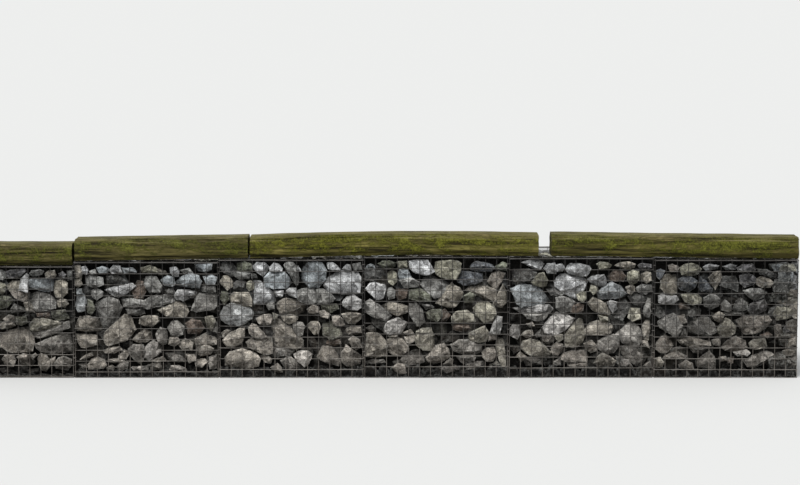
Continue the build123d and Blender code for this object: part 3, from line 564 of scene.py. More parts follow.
    6: """
slate .15,.95 .6,.8 .95,.95 .8,1.35 .45,1.75 .2,1.5
pink 1.2,.5 1.6,.35 2.1,.5 2.1,1 1.4,1.05
tan .6,1.9 1,1.35 1.9,1.4 2.1,2.2 2.05,3 1.6,3.15 .9,2.95 .55,2.5
pale .4,3.35 .75,3.05 1.3,3.2 2,3.3 2.2,3.6 1.7,3.95 .8,4 .4,3.85
olive 2.3,.75 2.7,.4 3.4,.3 3.9,.45 4.2,.8 3.9,1.25 3.2,1.4 2.5,1.3
slate 2.2,1.75 2.7,1.5 3.4,1.55 3.85,1.9 3.7,2.5 3.1,2.85 2.4,2.7 2.1,2.3
pale 4.4,.6 4.9,.35 5.9,.5 5.7,.8 4.7,1
brown 4.9,1.6 5.4,1.1 6,1 6.1,1.6 5.5,2.6 5.1,2.1
slate 4.2,1.5 4.7,1.9 5.3,2.6 5.1,3 4.3,2.9 4,2.5
dark 6.2,1.5 7.4,1.5 7.7,2.2 7.6,2.9 6.9,2.6 6,2.3
pale 6.2,.6 6.9,.35 7.5,.5 7.4,.9 6.5,.9
plum 7.5,.7 8,.4 9,.4 9.2,.9 8.4,1.1 7.6,1.05
plum 7.8,1.4 8.6,1.2 9.2,1.6 9.1,2.2 8.2,2.5 7.8,2.1
dark 9.3,.8 10.3,.9 11.2,1.4 10.8,1.8 9.6,1.3
brown 9.3,1.75 9.8,1.5 10.5,1.75 10.9,2.1 10.5,2.45 9.8,2.5 9.3,2.2
blue 10.6,.4 11.6,.4 11.8,.9 10.9,1
blue 12.3,.4 12.9,.4 13,1.2 12.3,.9
white 11.3,1.6 11.8,1.2 12.9,1.3 13,2.6 12.6,2.7 11.8,2.2
olive 10.8,2.4 11.3,2.2 12.2,2.7 12.6,3.2 11.4,3.1 10.9,2.9
brown 11.2,3.2 12.6,3.4 12.5,4 12.1,4.2 11.3,3.9
grey 8.1,2.8 8.7,2.6 9.7,2.6 10.2,3 9.9,3.4 9.2,3.7 8.6,3.4
plum 8.5,4.6 8.8,4 9.6,3.8 10,3.6 10.3,4.1 10.2,4.6 9.5,5 8.8,5
dark 7.2,4.4 7.5,3.7 7.9,3.5 8.5,3.9 8.5,4.5 8,4.6 7.3,4.7
grey 6.1,4 6.5,3.6 7,4.1 7.1,4.5 6.7,4.7 6.2,4.5
tan 5.3,5.2 5.9,4.7 6.4,5 6.2,5.5 5.9,5.7 5.5,5.5
dark 6.4,4.8 7.3,4.75 8.3,4.8 8.2,5 6.8,5.05
dark .2,4.2 .9,4.2 1,5 .5,5.4 .2,5
grey .35,5.7 1,5.2 1.7,4.9 2.2,5.3 2.6,6 2.2,6.9 1.7,6.9 1.2,6.4 .6,6.2
dark 2.6,6.1 3,6.3 3,7 2.4,6.9
pink 2.2,5.1 2.8,5 3,5.7 2.5,5.8
olive 2.5,3.2 3.1,3 3.9,3.1 4.35,3.5 4.2,3.9 3.5,4.1 2.8,3.8
grey 4.5,3.45 5,3.15 5.6,3.2 6,3.6 5.8,4.2 5.2,4.5 4.6,4.2
dark 3.2,4.5 3.7,4.25 4.3,4.5 4.2,5 3.5,5.2 3.1,5
red 2.2,4 3,3.9 3.2,4.4 2.4,4.5
grey 3.1,6.2 3.4,5.6 4,5.2 4.9,5.3 5.5,5.9 5.6,6.6 5.2,6.9 4.4,6.9 3.9,6.7 3.2,6.6
olive 5.7,6.5 6.1,5.8 6.5,5.3 6.9,5.5 7.5,6.1 7.3,6.7 6.8,7.1 6.3,7.1 5.9,6.8
pink 7.5,5.6 8.2,5.2 9,5.3 10.3,5.1 10.6,5.5 10.5,5.9 9.6,6.6 9,6.8 8.3,6.8 7.9,6.3
olive 10.8,4.8 11.3,4.3 12.2,4.3 12.9,4.6 12.8,5.1 12.3,5.3 11.2,5.5
pink 10.95,6 11.6,5.9 11.8,6.7 11.6,7.3 11.1,7.2
slate 11.8,6.3 12.2,5.8 12.7,6 12.8,6.5 12.4,6.9 11.9,6.8
pink .2,7.7 .6,7.1 1,6.9 1.5,7.2 1.8,7.9 1.2,8.5 .7,8.55 .2,8.2
brown 2.2,7.4 2.6,7 3.5,7.1 4.2,7.3 5.1,7.5 5.1,7.8 4.2,8 3.3,7.9 2.6,7.8
dark 3.3,8 5,7.9 4.9,8.2 4.4,8.6 3.7,8.5
brown 5.3,7.3 5.9,7.2 6.1,7.6 5.9,7.9 5.4,7.8
pink 6.2,8 6.7,7.4 7.5,7 8.3,7.4 8.5,8 8,8.3 7,8.4 6.6,8.3
pale 7.3,8.5 8.4,8.2 8.8,8.5 8.5,8.8 7.6,8.8
olive 8.7,7.6 9.2,7.3 10.1,7.2 10.3,7.9 9.6,8.1 8.8,8.1
red 9.7,6.9 10.4,6.6 10.8,6.9 10.4,7.2
grey 8.2,9.2 9,8.8 9.9,8.4 10.7,8.5 11,8.8 10.6,9.3 9.9,9.6 9.2,9.9 8.6,9.8
tan 11.9,7.7 12.3,7.2 12.9,7.1 13,7.8 12.3,7.95
tan 11.8,8.3 12.4,8.1 12.9,8.3 12.8,8.7 12,8.8
grey 11.2,9.3 11.5,8.9 11.9,9 12,9.9 11.4,9.95
dark 12.2,9 12.9,9 12.9,9.9 12.3,9.9
pink .9,8.9 1.4,8.6 2.2,8.4 3,8.8 2.9,9 1.2,9
olive .1,9 .6,8.9 .9,9.3 .8,9.8 .2,9.9
deep 1,9.6 1.9,9.4 2.2,9.8 1.2,9.9
brown 2.3,9.6 3,9.2 3.5,9.5 3.6,9.95 2.4,9.95
grey 3.9,9.3 4.4,8.9 5.1,8.4 5.5,8.8 5.6,9.4 5.6,9.9 4.8,9.7 4.5,9.9 4,9.8
brown 5.9,8.9 6.6,8.8 6.7,9.2 6,9.3
red 6.8,8.95 7.4,8.9 7.3,9.5 6.8,9.5
deep 6,9.4 6.9,9.6 7.9,9.5 8,9.95 6.3,9.95
""",
}

stones = {
    "tones": {
        "white": (161, 162, 162),
        "pale": (147, 148, 148),
        "blue": (133, 138, 140),
        "slate": (86, 89, 93),
        "grey": (120, 120, 117),
        "plum": (91, 90, 91),
        "dark": (90, 90, 88),
        "brown": (119, 114, 105),
        "tan": (135, 130, 119),
        "olive": (130, 128, 114),
        "pink": (125, 119, 111),
        "red": (93, 83, 75),
        "deep": (62, 56, 51),
        "mossy": (90, 92, 80),
        # wet is also the painted shadow of the sleepers on the stones along the lid's front edge
        "wet": (25, 23, 21),
    },
    "basketShade": {1: 0.90, 2: 1.0, 3: 1.12, 4: 1.14, 5: 1.08, 6: 0.70},   # darker toward the row's ends
    "brighter": 1.88,        # all tones together
    "shadeRange": (0.9, 1.1),   # each stone's own
    "lowerRows": 1.01,       # how bright the stones at the foot are, against those at the top
    "upperFrom": 0.7,        # height from which the stones are like those at the top
    "silt": 0.9,             # share of the lowest stones' own colour that silt hides
    "siltHue": (1.118, 1.008, 0.874),   # against a grey as bright as the stone
    "behindMesh": 0.0112,    # nearest that a stone comes to the outer face of the mesh
    # how far behind that the stones of some tones begin, and the others
    "setBack": {"deep": (0.035, 0.06), "dark": (0.012, 0.03), "mossy": (0.006, 0.022), "red": (0.01, 0.026),
                "wet": (0.0, 0.006)},
    "usualSetBack": (0.0, 0.016),
    "pressSeam": 0.0072,     # how far stones press into the end meshes' openings, where baskets meet
    "pressEnd": 0.0045,      # and at the ends of the row
    "overGround": 0.0006,
    "overTopWire": 0.005,    # the lid holds the stones this far above the middle of the top wires
    "swell": 1.08,           # how much larger than its outline a stone is, behind its neighbours' edges
    "thickness": 1.7,        # against the mean of its radius
    "thickest": 0.13,
    "deepestFace": 0.036,    # how far a stone's face slopes back at most
    "flatFace": 0.009,       # the same, for stones that are packed flat against the mesh
    "sharpFrom": 11,         # degrees between two flat faces that meet in a crisp edge
    "sharpest": 0.9,         # radians at which an edge's painted highlight is full
    "chipEdge": 0.034,       # size of the chips that the flat faces are broken into, and their height
    "chipDepth": 0.0068,
    "chipNoise": 190,        # how fast the unevenness of the chips changes, and of the finished faces
    "fineNoise": 70,
    "coarseNoise": 24,
    "unevenness": 0.0013,
    "coarseUneven": 0.00195,
    "finestEdge": 0.0125,    # of the faces that show, of the other faces, and of what lies deeper in
    "coarseEdge": 0.032,
    "hiddenEdge": 0.06,
    "hiddenFrom": 0.062,     # the depth at which that begins
    "splits": 5,             # rounds of halving long edges
    "highest": 0.10,         # cells from the top wires to the stones of a face
    "gapFrom": 0.042,        # the depth at which the painted shade of the gaps begins, and how much deeper it is full
    "gapOver": 0.032,
    "topRows": (0.9, 8.6),   # between which rows of the lid its stones lie, clear of those along the edges
    "backs": {1: 3, 2: 4, 3: 5, 4: 6, 5: 2, 6: 3},   # whose outlines the hidden faces repeat
    "tops": {1: 4, 2: 6, 3: 2, 4: 3, 5: 6, 6: 5},
}
# Larger stones that fill the gaps between the first ones, from behind, darkened as painted shade
fillers = {
    "behind": 0.036,
    "shade": 0.21,
    "swell": 1.3,
    "endSwell": 1.35,
    "rows": (0.75, 99),      # between which rows of a face they lie, and of the lid
    "topRows": (1.5, 8.1),
    "shifts": {"front": 0.45, "back": 0.3, "top": -0.3, "leftEnd": -0.4, "rightEnd": -0.4},   # cells
}
# What each stone draws at random as it is broken
breaks = {
    "leanAside": (-0.28, 0.28),
    "leanBack": (-0.18, 0.38),
    "upperRim": (0.78, 0.98),   # how wide the broken face is, against the outline: worn back more above
    "lowerRim": (0.86, 1.0),
    "hollow": (0.02, 0.26),     # how far its corners lie back, against the stone's radius
    "peaks": (1, 2, 2, 3),
    "peakOut": (0.05, 0.55),
    "peakHeight": (0.03, 0.14),
    "rimBack": (0.05, 0.18),
    "rimReach": 0.07,           # the radius that counts for the rim at most
    "rearSize": (0.55, 0.85),
    "rearBack": (0.7, 1.0),
}


def readFace(number):
    found = []
    for line in stoneFaces[number].strip().splitlines():
        tone, *pairs = line.split()
        found.append((tone, [tuple(float(part) for part in pair.split(",")) for pair in pairs]))
    return found


def meanOf(values):
    values = list(values)
    return sum(values) / len(values)


def facingSide(number, side):
    # a face of a basket: where its first wires cross, its directions right, down and inwards
    here = places[number]
    y = row["outerY"]
    edge = y - row["halfWire"]
    sides = {
        "front": ((here["left"], -y, here["top"]), (1, 0, 0), (0, 0, -1), (0, 1, 0)),
        "back": ((here["right"], y, here["top"]), (-1, 0, 0), (0, 0, -1), (0, -1, 0)),
        "top": ((here["left"], edge, here["top"] + row["lidOver"]), (1, 0, 0), (0, -1, 0), (0, 0, -1)),
        "leftEnd": ((cadBox[0][0], edge, here["top"]), (0, -1, 0), (0, 0, -1), (1, 0, 0)),
        "rightEnd": ((cadBox[1][0], -edge, here["top"]), (0, 1, 0), (0, 0, -1), (-1, 0, 0)),
    }
    return [Vector(part) for part in sides[side]]


def roomOf(number):
    # the space that a basket's stones have, with the openings of its end meshes
    here = places[number]
    left = row["bayHalf"] + (stones["pressSeam"] if number > 1 else stones["pressEnd"])
    right = row["bayHalf"] + (stones["pressSeam"] if number < row["baskets"] else stones["pressEnd"])
    y = row["outerY"] - stones["behindMesh"]
    low = Vector((here["middle"] - left, -y, stones["overGround"]))
    high = Vector((here["middle"] + right, y, here["top"] + stones["overTopWire"]))
    return low, high


def splitLongEdges(bm, limit, depthOf):
    # halves the edges that are longer than the limit, or than a coarser one deeper in
    for turn in range(stones["splits"]):
        tooLong = []
        for edge in bm.edges:
            depth = depthOf((edge.verts[0].co + edge.verts[1].co) / 2)
            if edge.calc_length() > (limit if depth < stones["hiddenFrom"] else stones["hiddenEdge"]):
                tooLong.append(edge)
        if not tooLong:
            break
        bmesh.ops.subdivide_edges(bm, edges=tooLong, cuts=1)
        bmesh.ops.triangulate(bm, faces=bm.faces[:])


def wrapStone(bm, tintLayer, outline, spread, front, thickness, deepest, tint, chance):
    # a broken face of a few planes, the outline behind it and a smaller rear, wrapped in flat faces
    n = len(outline)
    u0, v0 = meanOf(p[0] for p in outline), meanOf(p[1] for p in outline)
    reach = meanOf(math.hypot(p[0] - u0, p[1] - v0) for p in outline)
    leanU, leanV = chance.uniform(*breaks["leanAside"]), chance.uniform(*breaks["leanBack"])
    face = []
    for u, v in outline:
        k = chance.uniform(*breaks["upperRim" if v < v0 else "lowerRim"])
        du, dv = (u - u0) * k, (v - v0) * k
        face.append([u0 + du, v0 + dv, leanU * du - leanV * dv + chance.uniform(*breaks["hollow"]) * reach])
    for peak in range(chance.choice(breaks["peaks"])):
        u, v = outline[chance.randrange(n)]
        k = chance.uniform(*breaks["peakOut"])
        du, dv = (u - u0) * k, (v - v0) * k
        height = chance.uniform(*breaks["peakHeight"]) * reach
        face.append([u0 + du, v0 + dv, leanU * du - leanV * dv - height])
    nearest = min(point[2] for point in face)
    relief = min(1.0, deepest / (max(point[2] for point in face) - nearest))
    for point in face:
        point[2] = front + (point[2] - nearest) * relief
    rim = []
    for (u, v), point in zip(outline, face):
        rim.append([u, v, point[2] + chance.uniform(*breaks["rimBack"]) * min(reach, breaks["rimReach"])])
    edge = meanOf(point[2] for point in rim)
    rear = []
    for u, v in outline:
        k = chance.uniform(*breaks["rearSize"])
        back = edge + thickness * chance.uniform(*breaks["rearBack"])
        rear.append([u0 + (u - u0) * k, v0 + (v - v0) * k, back])
    corners = [bm.verts.new(spread(*point)) for point in face + rim + rear]
    made = bmesh.ops.convex_hull(bm, input=corners)
    inside = made["geom_interior"] + made["geom_unused"]
    spare = dict.fromkeys(item for item in inside if isinstance(item, bmesh.types.BMVert))
    bmesh.ops.delete(bm, geom=list(spare), context="VERTS")
    for item in made["geom"]:
        if isinstance(item, bmesh.types.BMFace) and item.is_valid:
            for loop in item.loops:
                loop[tintLayer] = tint


def toneColour(tone, height, chance):
    red, green, blue, _ = paint(*stones["tones"][tone])
    upper = min(1.0, max(0.0, height / stones["upperFrom"]))
    shade = (stones["lowerRows"] + (1 - stones["lowerRows"]) * upper) * stones["brighter"]
    shade *= chance.uniform(*stones["shadeRange"])
    # silt on the lower stones draws their colours together, apart from the red ones
    silt = 0 if tone == "red" else (1 - upper) * stones["silt"]
    mean = (red + green + blue) / 3
    mixed = [part + (mean * hue - part) * silt for part, hue in zip((red, green, blue), stones["siltHue"])]
    return [part * shade for part in mixed]


def gapShade(number, place):
    # how deep a place lies below the basket's nearest open face: 0 near it, 1 far in. The material paints the
    # stones darker by it, as painted shade in the gaps
    here = places[number]
    depths = [row["outerY"] - abs(place.y)]
    if place.y > row["sleepersTo"]:
        depths.append(here["top"] + row["lidOver"] - place.z)
    if number == 1:
        depths.append(place.x - cadBox[0][0])
    if number == row["baskets"]:
        depths.append(cadBox[1][0] - place.x)
    return min(1.0, max(0.0, (min(depths) - stones["gapFrom"]) / stones["gapOver"]))


def layStones(name, number, side, outlines, seed, fine=False, shift=0.0, deeper=0.0, swell=stones["swell"],
              shade=1.0, slope=stones["deepestFace"]):
    # one layer of stones on one side of a basket. Shift is in cells along it, deeper in metres inwards
    origin, right, down, inwards = facingSide(number, side)
    low, high = roomOf(number)
    chance = random.Random(seed)
    cell = row["cell"]
    upright = down.z < 0
    highest = stones["highest"] if upright else -1

    def spread(u, v, d):
        return origin + right * u + down * v + inwards * d

    def depthOf(place):
        return (place - origin).dot(inwards)

    bm = bmesh.new()
    tintLayer = bm.loops.layers.float_color.new("tint")
    for tone, cells in outlines:
        back = stones["setBack"].get(tone, stones["usualSetBack"])
        front = stones["behindMesh"] + deeper + chance.uniform(*back)
        u0, v0 = meanOf(c for c, r in cells), meanOf(r for c, r in cells)
        outline = [((u0 + (c - u0) * swell + shift) * cell,
                    max(highest, v0 + (r - v0) * swell) * cell) for c, r in cells]
        size = meanOf(math.hypot(c - u0, r - v0) for c, r in cells) * cell
        colour = toneColour(tone, spread(*outline[0], 0).z if upright else stones["upperFrom"], chance)
        tint = (*(part * shade * stones["basketShade"][number] for part in colour), 1.0)
        thickness = min(stones["thickest"], size * stones["thickness"])
        wrapStone(bm, tintLayer, outline, spread, front, thickness, slope, tint, chance)
    bmesh.ops.recalc_face_normals(bm, faces=bm.faces[:])

    def move(verts, scale, height, turn):
        # uneven ground: each vertex is pushed by smooth noise, and stays in the room of its basket
        for vert in verts:
            moved = vert.co + noise.noise_vector(vert.co * scale + Vector((seed, turn, 0))) * height
            vert.co = [min(high[axis], max(low[axis], moved[axis])) for axis in range(3)]

    corners = set(bm.verts)
    splitLongEdges(bm, stones["chipEdge"] if fine else stones["coarseEdge"], depthOf)
    move([vert for vert in bm.verts if vert not in corners], stones["chipNoise"], stones["chipDepth"], 0)
    for edge in bm.edges:
        edge.smooth = edge.calc_face_angle(0) < math.radians(stones["sharpFrom"])
    if fine:
        splitLongEdges(bm, stones["finestEdge"], depthOf)
        move(bm.verts, stones["fineNoise"], stones["unevenness"], seed)
    else:
        move(bm.verts, stones["coarseNoise"], stones["coarseUneven"], seed)
    # painted highlight along the sharp, outward edges of the stones
    edgeHighlight = bm.verts.layers.float.new("edgeHighlight")
    for vert in bm.verts:
        sharp = [edge.calc_face_angle_signed(0) for edge in vert.link_edges if not edge.smooth]
        vert[edgeHighlight] = min(1.0, max(0.0, max(sharp) / stones["sharpest"])) if sharp else 0.0
    for face in bm.faces:
        face.smooth = True
    mesh = bpy.data.meshes.new(name)
    bm.to_mesh(mesh)
    bm.free()
    layer = bpy.data.objects.new(name, mesh)
    bpy.context.scene.collection.objects.link(layer)
    # the depth below the open faces, which the material paints as shade
    paintedGapShade = layer.data.attributes.new("paintedGapShade", "FLOAT", "POINT")
    for index, vert in enumerate(layer.data.vertices):
        paintedGapShade.data[index].value = gapShade(number, vert.co)
    return layer


def stonesWithin(number, axis, first, last):
    # the stones of a face whose outlines lie between two columns (axis 0) or two rows (axis 1)
    found = []
    for tone, cells in readFace(number):
        reach = [cell[axis] for cell in cells]
        if first < min(reach) and max(reach) < last:
            found.append((tone, cells))
    return found


# Blocks that close the foot, the edges and the corners of a basket, in cells apart from how deep they lie
blocks = {
    "width": (0.8, 1.9),
    "apart": 0.04,
    "least": 0.3,         # room for one more block
    "slant": 0.25,
    "waist": (0.4, 0.5),       # how far down a block its left and right corners lie
    "shoulders": (0.2, 0.75),  # where along its width the upper corners lie
    "footOut": 0.05,           # how far the lower corners reach out to the sides
    "footSlant": 0.5,
    "tones": ["tan", "grey", "olive", "brown", "dark", "pink"],
    "overhang": 0.1,      # at both ends of the foot, and half of that at the ends of the lid's edges
    "footRows": (-0.25, 0.2),   # from this far over the lowest wire to this far under the ground
    # footShade and frontFootShade darken the foot's stones as painted shade, most at the front
    "footShade": 0.8,
    "frontFootDeeper": 0.014,
    "frontFootShade": 0.5,
    "backEdge": (-0.3, 1.1),    # rows of the lid
    "frontEdge": (7.7, 9.2),
    "frontEdgeDeeper": -0.005,
    "cornerOut": 0.4,           # how far a stack reaches out past its corner, and in
    "cornerIn": 1.0,
    "cornerRows": (0.15, 0.3),  # from below the top wire to past the lowest one
    "cornerDeeper": {1: 0.002, 6: 0.008},
    "cornerShade": 0.8,
    "backDeeper": 0.004,
    "edgeDeeper": 0.002,
    "endEdgeFrom": 0.5,         # how far the lid's stones along an end stay clear of the corners
}


def blockRow(seed, start, end, near, far, tones, upright=False):
    # blocks in one row, from start to end cells; upright ones stand on each other instead
    chance = random.Random(seed)
    found = []
    at = start
    while at < end - blocks["least"]:
        width = min(chance.uniform(*blocks["width"]), end - at)
        deep = far - near
        slant = [chance.uniform(0, blocks["slant"]) * deep for corner in range(4)]
        cells = [
            (at, near + deep * blocks["waist"][0]),
            (at + width * blocks["shoulders"][0], near + slant[0]),
            (at + width * blocks["shoulders"][1], near + slant[1]),
            (at + width, near + deep * blocks["waist"][1]),
            (at + width * (1 + blocks["footOut"]), far - slant[2] * blocks["footSlant"]),
            (at - width * blocks["footOut"], far - slant[3] * blocks["footSlant"]),
        ]
        found.append((chance.choice(tones), [(r, c) for c, r in cells] if upright else cells))
        at += width + blocks["apart"]
    return found


def edgeLayers(number):
    # what closes the foot, the edges and the corners of a basket, packed flat against the meshes
    lastColumn, lastRow = row["columns"], row["rows"]
    rise = places[number]["rise"] / row["cell"]
    mixed = blocks["tones"]
    made = []

    def lay(name, side, seed, found, deeper=0.0, shade=1.0):
        made.append(layStones(name, number, side, found, seed + 20, deeper=deeper, swell=1.0, shade=shade,
                              slope=stones["flatFace"]))

    def layFoot(side, seed, across, deeper=0.0, shade=blocks["footShade"]):
        # dark stones between the lowest wire and the ground: wet, and darkened more as painted shade
        over, under = blocks["footRows"]
        found = blockRow(seed, -blocks["overhang"], across + blocks["overhang"], lastRow + over,
                         lastRow + rise + under, ["wet"])
        lay("foot", side, seed, found, deeper, shade)

    def layEdge(name, seed, rows, tones, deeper):
        # along the back or the front of the lid
        overhang = blocks["overhang"] / 2
        found = blockRow(seed, -overhang, lastColumn + overhang, *rows, tones)
        lay(name, "top", seed, found, deeper)

    def stack(seed, near, far):
        over, under = blocks["cornerRows"]
        return blockRow(seed, over, lastRow + under, near, far, mixed, upright=True)

    layFoot("front", 500 + number, lastColumn, blocks["frontFootDeeper"], blocks["frontFootShade"])
    layFoot("back", 700 + number, lastColumn)
    layEdge("backEdge", 820 + number, blocks["backEdge"], mixed, blocks["edgeDeeper"])
    # the stones under the sleepers' front take the near-black wet tone as painted shadow of the sleepers
    layEdge("frontEdge", 860 + number, blocks["frontEdge"], ["wet"], blocks["frontEdgeDeeper"])
    # the stacks at the row's ends; the front's left is the back's right
    outside, inside = -blocks["cornerOut"], blocks["cornerIn"]
    for end, side, near, far in ((1, "leftEnd", outside, inside),
                                 (row["baskets"], "rightEnd", lastColumn - inside, lastColumn - outside)):
        if number == end:
            lay("cornerFront", "front", 920 + end, stack(920 + end, near, far), blocks["cornerDeeper"][end],
                blocks["cornerShade"])
            lay("cornerBack", "back", 940 + end, stack(940 + end, lastColumn - far, lastColumn - near),
                blocks["backDeeper"])
            clear = blocks["endEdgeFrom"]
            along = blockRow(960 + end, clear, lastRow - clear, near, far, mixed, upright=True)
            lay("endEdge", "top", 960 + end, along, blocks["edgeDeeper"])
            layFoot(side, 980 + end, row["deep"])
    return made


# The middle of a basket, behind its outer stones, its dark tone standing for painted shade
core = {
    "halfDepth": 0.30,
    "endHalf": 0.41,      # its reach toward an end of the row
    "foot": 0.05,
    "underTop": 0.075,
    "cuts": 11,
    "noise": 9,
    "unevenness": 0.03,
    "tone": (40, 35, 31),
}


def coreOf(number):
    here = places[number]
    left = row["endHalf"] if number > 1 else core["endHalf"]
    right = row["endHalf"] if number < row["baskets"] else core["endHalf"]
    low = Vector((here["middle"] - left, -core["halfDepth"], core["foot"]))
    high = Vector((here["middle"] + right, core["halfDepth"], here["top"] - core["underTop"]))
    bpy.ops.object.select_all(action="DESELECT")
    bpy.ops.mesh.primitive_cube_add(size=1, location=(low + high) / 2, scale=high - low)
    made = bpy.context.object
    bpy.ops.object.transform_apply(location=True, rotation=True, scale=True)
    bpy.ops.object.mode_set(mode="EDIT")
    bpy.ops.mesh.select_all(action="SELECT")
    bpy.ops.mesh.subdivide(number_cuts=core["cuts"])
    bpy.ops.object.mode_set(mode="OBJECT")
    for vert in made.data.vertices:
        rough = noise.noise_vector(vert.co * core["noise"]) * core["unevenness"]
        rough.x = 0
        vert.co += rough
    tint = made.data.attributes.new("tint", "FLOAT_COLOR", "CORNER")
    dark = paint(*core["tone"])
    for item in tint.data:
        item.color = dark
    # the whole middle takes the full painted shade of the gaps
    paintedGapShade = made.data.attributes.new("paintedGapShade", "FLOAT", "POINT")
    for item in paintedGapShade.data:
        item.value = 1.0
    return made


# The finish of the stones: each pattern's scale, detail, roughness, and the values between which it fades in
stoneFinish = {
    "cloud": (14, 5, 0.6, 0.34, 0.66),
    "mottle": (66, 6, 0.8, 0.37, 0.63),
    "grain": (150, 4, 0.72, 0.36, 0.64),
    "patches": (33, 4, 0.6, 0.54, 0.66),
    "earth": (4.5, 5, 0.6, 0.47, 0.68),
    "pits": (95, 5, 0.7, 0.55, 0.66),
    "rough": (38, 6, 0.72),
    "bendScale": 22,         # what bends the edges of the small broken planes, and how far
    "bend": 0.03,
    "planes": 27,            # cells in a metre, of those planes
    "planesLean": 1.25,
    "patchTone": (158, 159, 155),
    "earthTone": (84, 76, 64),
    "edgeHighlightTone": (188, 188, 182),
    "pitTone": (44, 41, 38),
    # the near black of the painted shade deep in the gaps
    "gapShadeTone": (13, 12, 10),
    "wetBetween": (0.045, 0.15),   # heights between which the stones dry
    "wetDarker": 0.45,
    "wetSmoother": 0.35,
    "roughness": 0.9,
    "gloss": 0.12,
}


def stonePaint():
    look = Look("quarriedStone")
    height = look.split(look.place, "Z")
    up = look.split(look.node("ShaderNodeNewGeometry", output="Normal"), "Z")
    names = ("cloud", "mottle", "grain", "patches", "earth", "pits", "rough")
    cloud, mottle, grain, patches, earth, pits, uneven = (look.pattern(stoneFinish[name]) for name in names)
    # broken planes: each cell of the pattern leans its own way and has its own shade
    inputs = {"Vector": look.place, "Scale": stoneFinish["bendScale"], "Detail": 3}
    bends = look.node("ShaderNodeTexNoise", inputs=inputs, output=1)
    bent = look.shifted(look.place, bends, stoneFinish["bend"])
    cellPlace = look.voronoi(bent, stoneFinish["planes"], 2)
    cellTint = look.voronoi(bent, stoneFinish["planes"], 1)
    planes = look.dot(look.minus(bent, cellPlace), look.minus(cellTint, (0.5, 0.5, 0.5)))
    tint = look.attribute("tint", "Color")
    edgeHighlight = look.attribute("edgeHighlight")
    # painted light from above: faces that look up are painted lighter, those that look down darker
    shade = (0.50 + cloud * 0.45) * (0.63 + mottle * 0.56) * (0.64 + grain * 0.64) * (1.04 + up * 0.55)
    base = look.scaled(tint, shade * (0.58 + look.split(cellTint, "X") * 0.84))
    base = look.mix(patches * 0.20, base, paint(*stoneFinish["patchTone"]))
    base = look.mix(earth * 0.25, base, paint(*stoneFinish["earthTone"]))
    # painted highlight on the sharp edges, broken up by the mottle
    base = look.mix(edgeHighlight * mottle * 0.42, base, paint(*stoneFinish["edgeHighlightTone"]))
    base = look.mix(pits * 0.40, base, paint(*stoneFinish["pitTone"]))
    wet = 1 - look.ramp(height + cloud * 0.025, *stoneFinish["wetBetween"])
    base = look.scaled(base, 1 - wet * stoneFinish["wetDarker"])
    # painted shade: the stones darken to near black deep in the gaps and in the basket's middle
    base = look.mix(look.attribute("paintedGapShade") * 0.95, base, paint(*stoneFinish["gapShadeTone"]))
    rough = uneven * 0.014 + grain * 0.0016 - pits * 0.0025 + planes * stoneFinish["planesLean"]   # in metres
    roughness = stoneFinish["roughness"] - wet * stoneFinish["wetSmoother"]
    return look.finish(Base_Color=base, Roughness=roughness, Specular_IOR_Level=stoneFinish["gloss"],
                       Normal=look.bump(rough, 1.0, 1.0))


def layFillers(number, side, outlines, seed, shift=0.0, swell=fillers["swell"]):
    return layStones(side + "Fillers", number, side, outlines, seed, shift=shift + fillers["shifts"][side],
                     swell=swell, deeper=fillers["behind"], shade=fillers["shade"])


# What the row's ends repeat: a basket's face, its stones between two columns, and how far they are shifted
endFaces = {
    1: {"side": "leftEnd", "face": 2, "between": (-1, 10.2), "shift": 0.0, "seed": 901},
    6: {"side": "rightEnd", "face": 4, "between": (2.8, 14), "shift": -3.0, "seed": 902},
}
leftPart = {"face": 5, "between": (-1, 6.45)}   # the same for the first basket's left part

stoneMaterial = stonePaint()
for number in range(1, row["baskets"] + 1):
    face = readFace(number)
    if number == 1:
        face += stonesWithin(leftPart["face"], 0, *leftPart["between"])
    behind, over = stones["backs"][number], stones["tops"][number]
    layers = [
        layStones("front", number, "front", face, 100 + number, fine=True),
        layStones("back", number, "back", readFace(behind), 200 + number),
        layStones("top", number, "top", stonesWithin(over, 1, *stones["topRows"]), 300 + number),
        layFillers(number, "front", stonesWithin(behind, 1, *fillers["rows"]), 400 + number),
        layFillers(number, "back", stonesWithin(over, 1, *fillers["rows"]), 410 + number),
        layFillers(number, "top", stonesWithin(behind, 1, *fillers["topRows"]), 420 + number),
        coreOf(number),
    ]
    layers += edgeLayers(number)
    if number in endFaces:
        end = endFaces[number]
        side, shift = end["side"], end["shift"]
        found = stonesWithin(end["face"], 0, *end["between"])
        layers.append(layStones(side, number, side, found, end["seed"], shift=shift))
        layers.append(layFillers(number, side, found, end["seed"] + 4, shift, fillers["endSwell"]))
    piece = joinAs(f"stones_{number}", layers)
    settle(piece, [f"stone_fill_{number}"], stoneMaterial)
    print("stones of basket", number, len(piece.data.polygons), "faces")


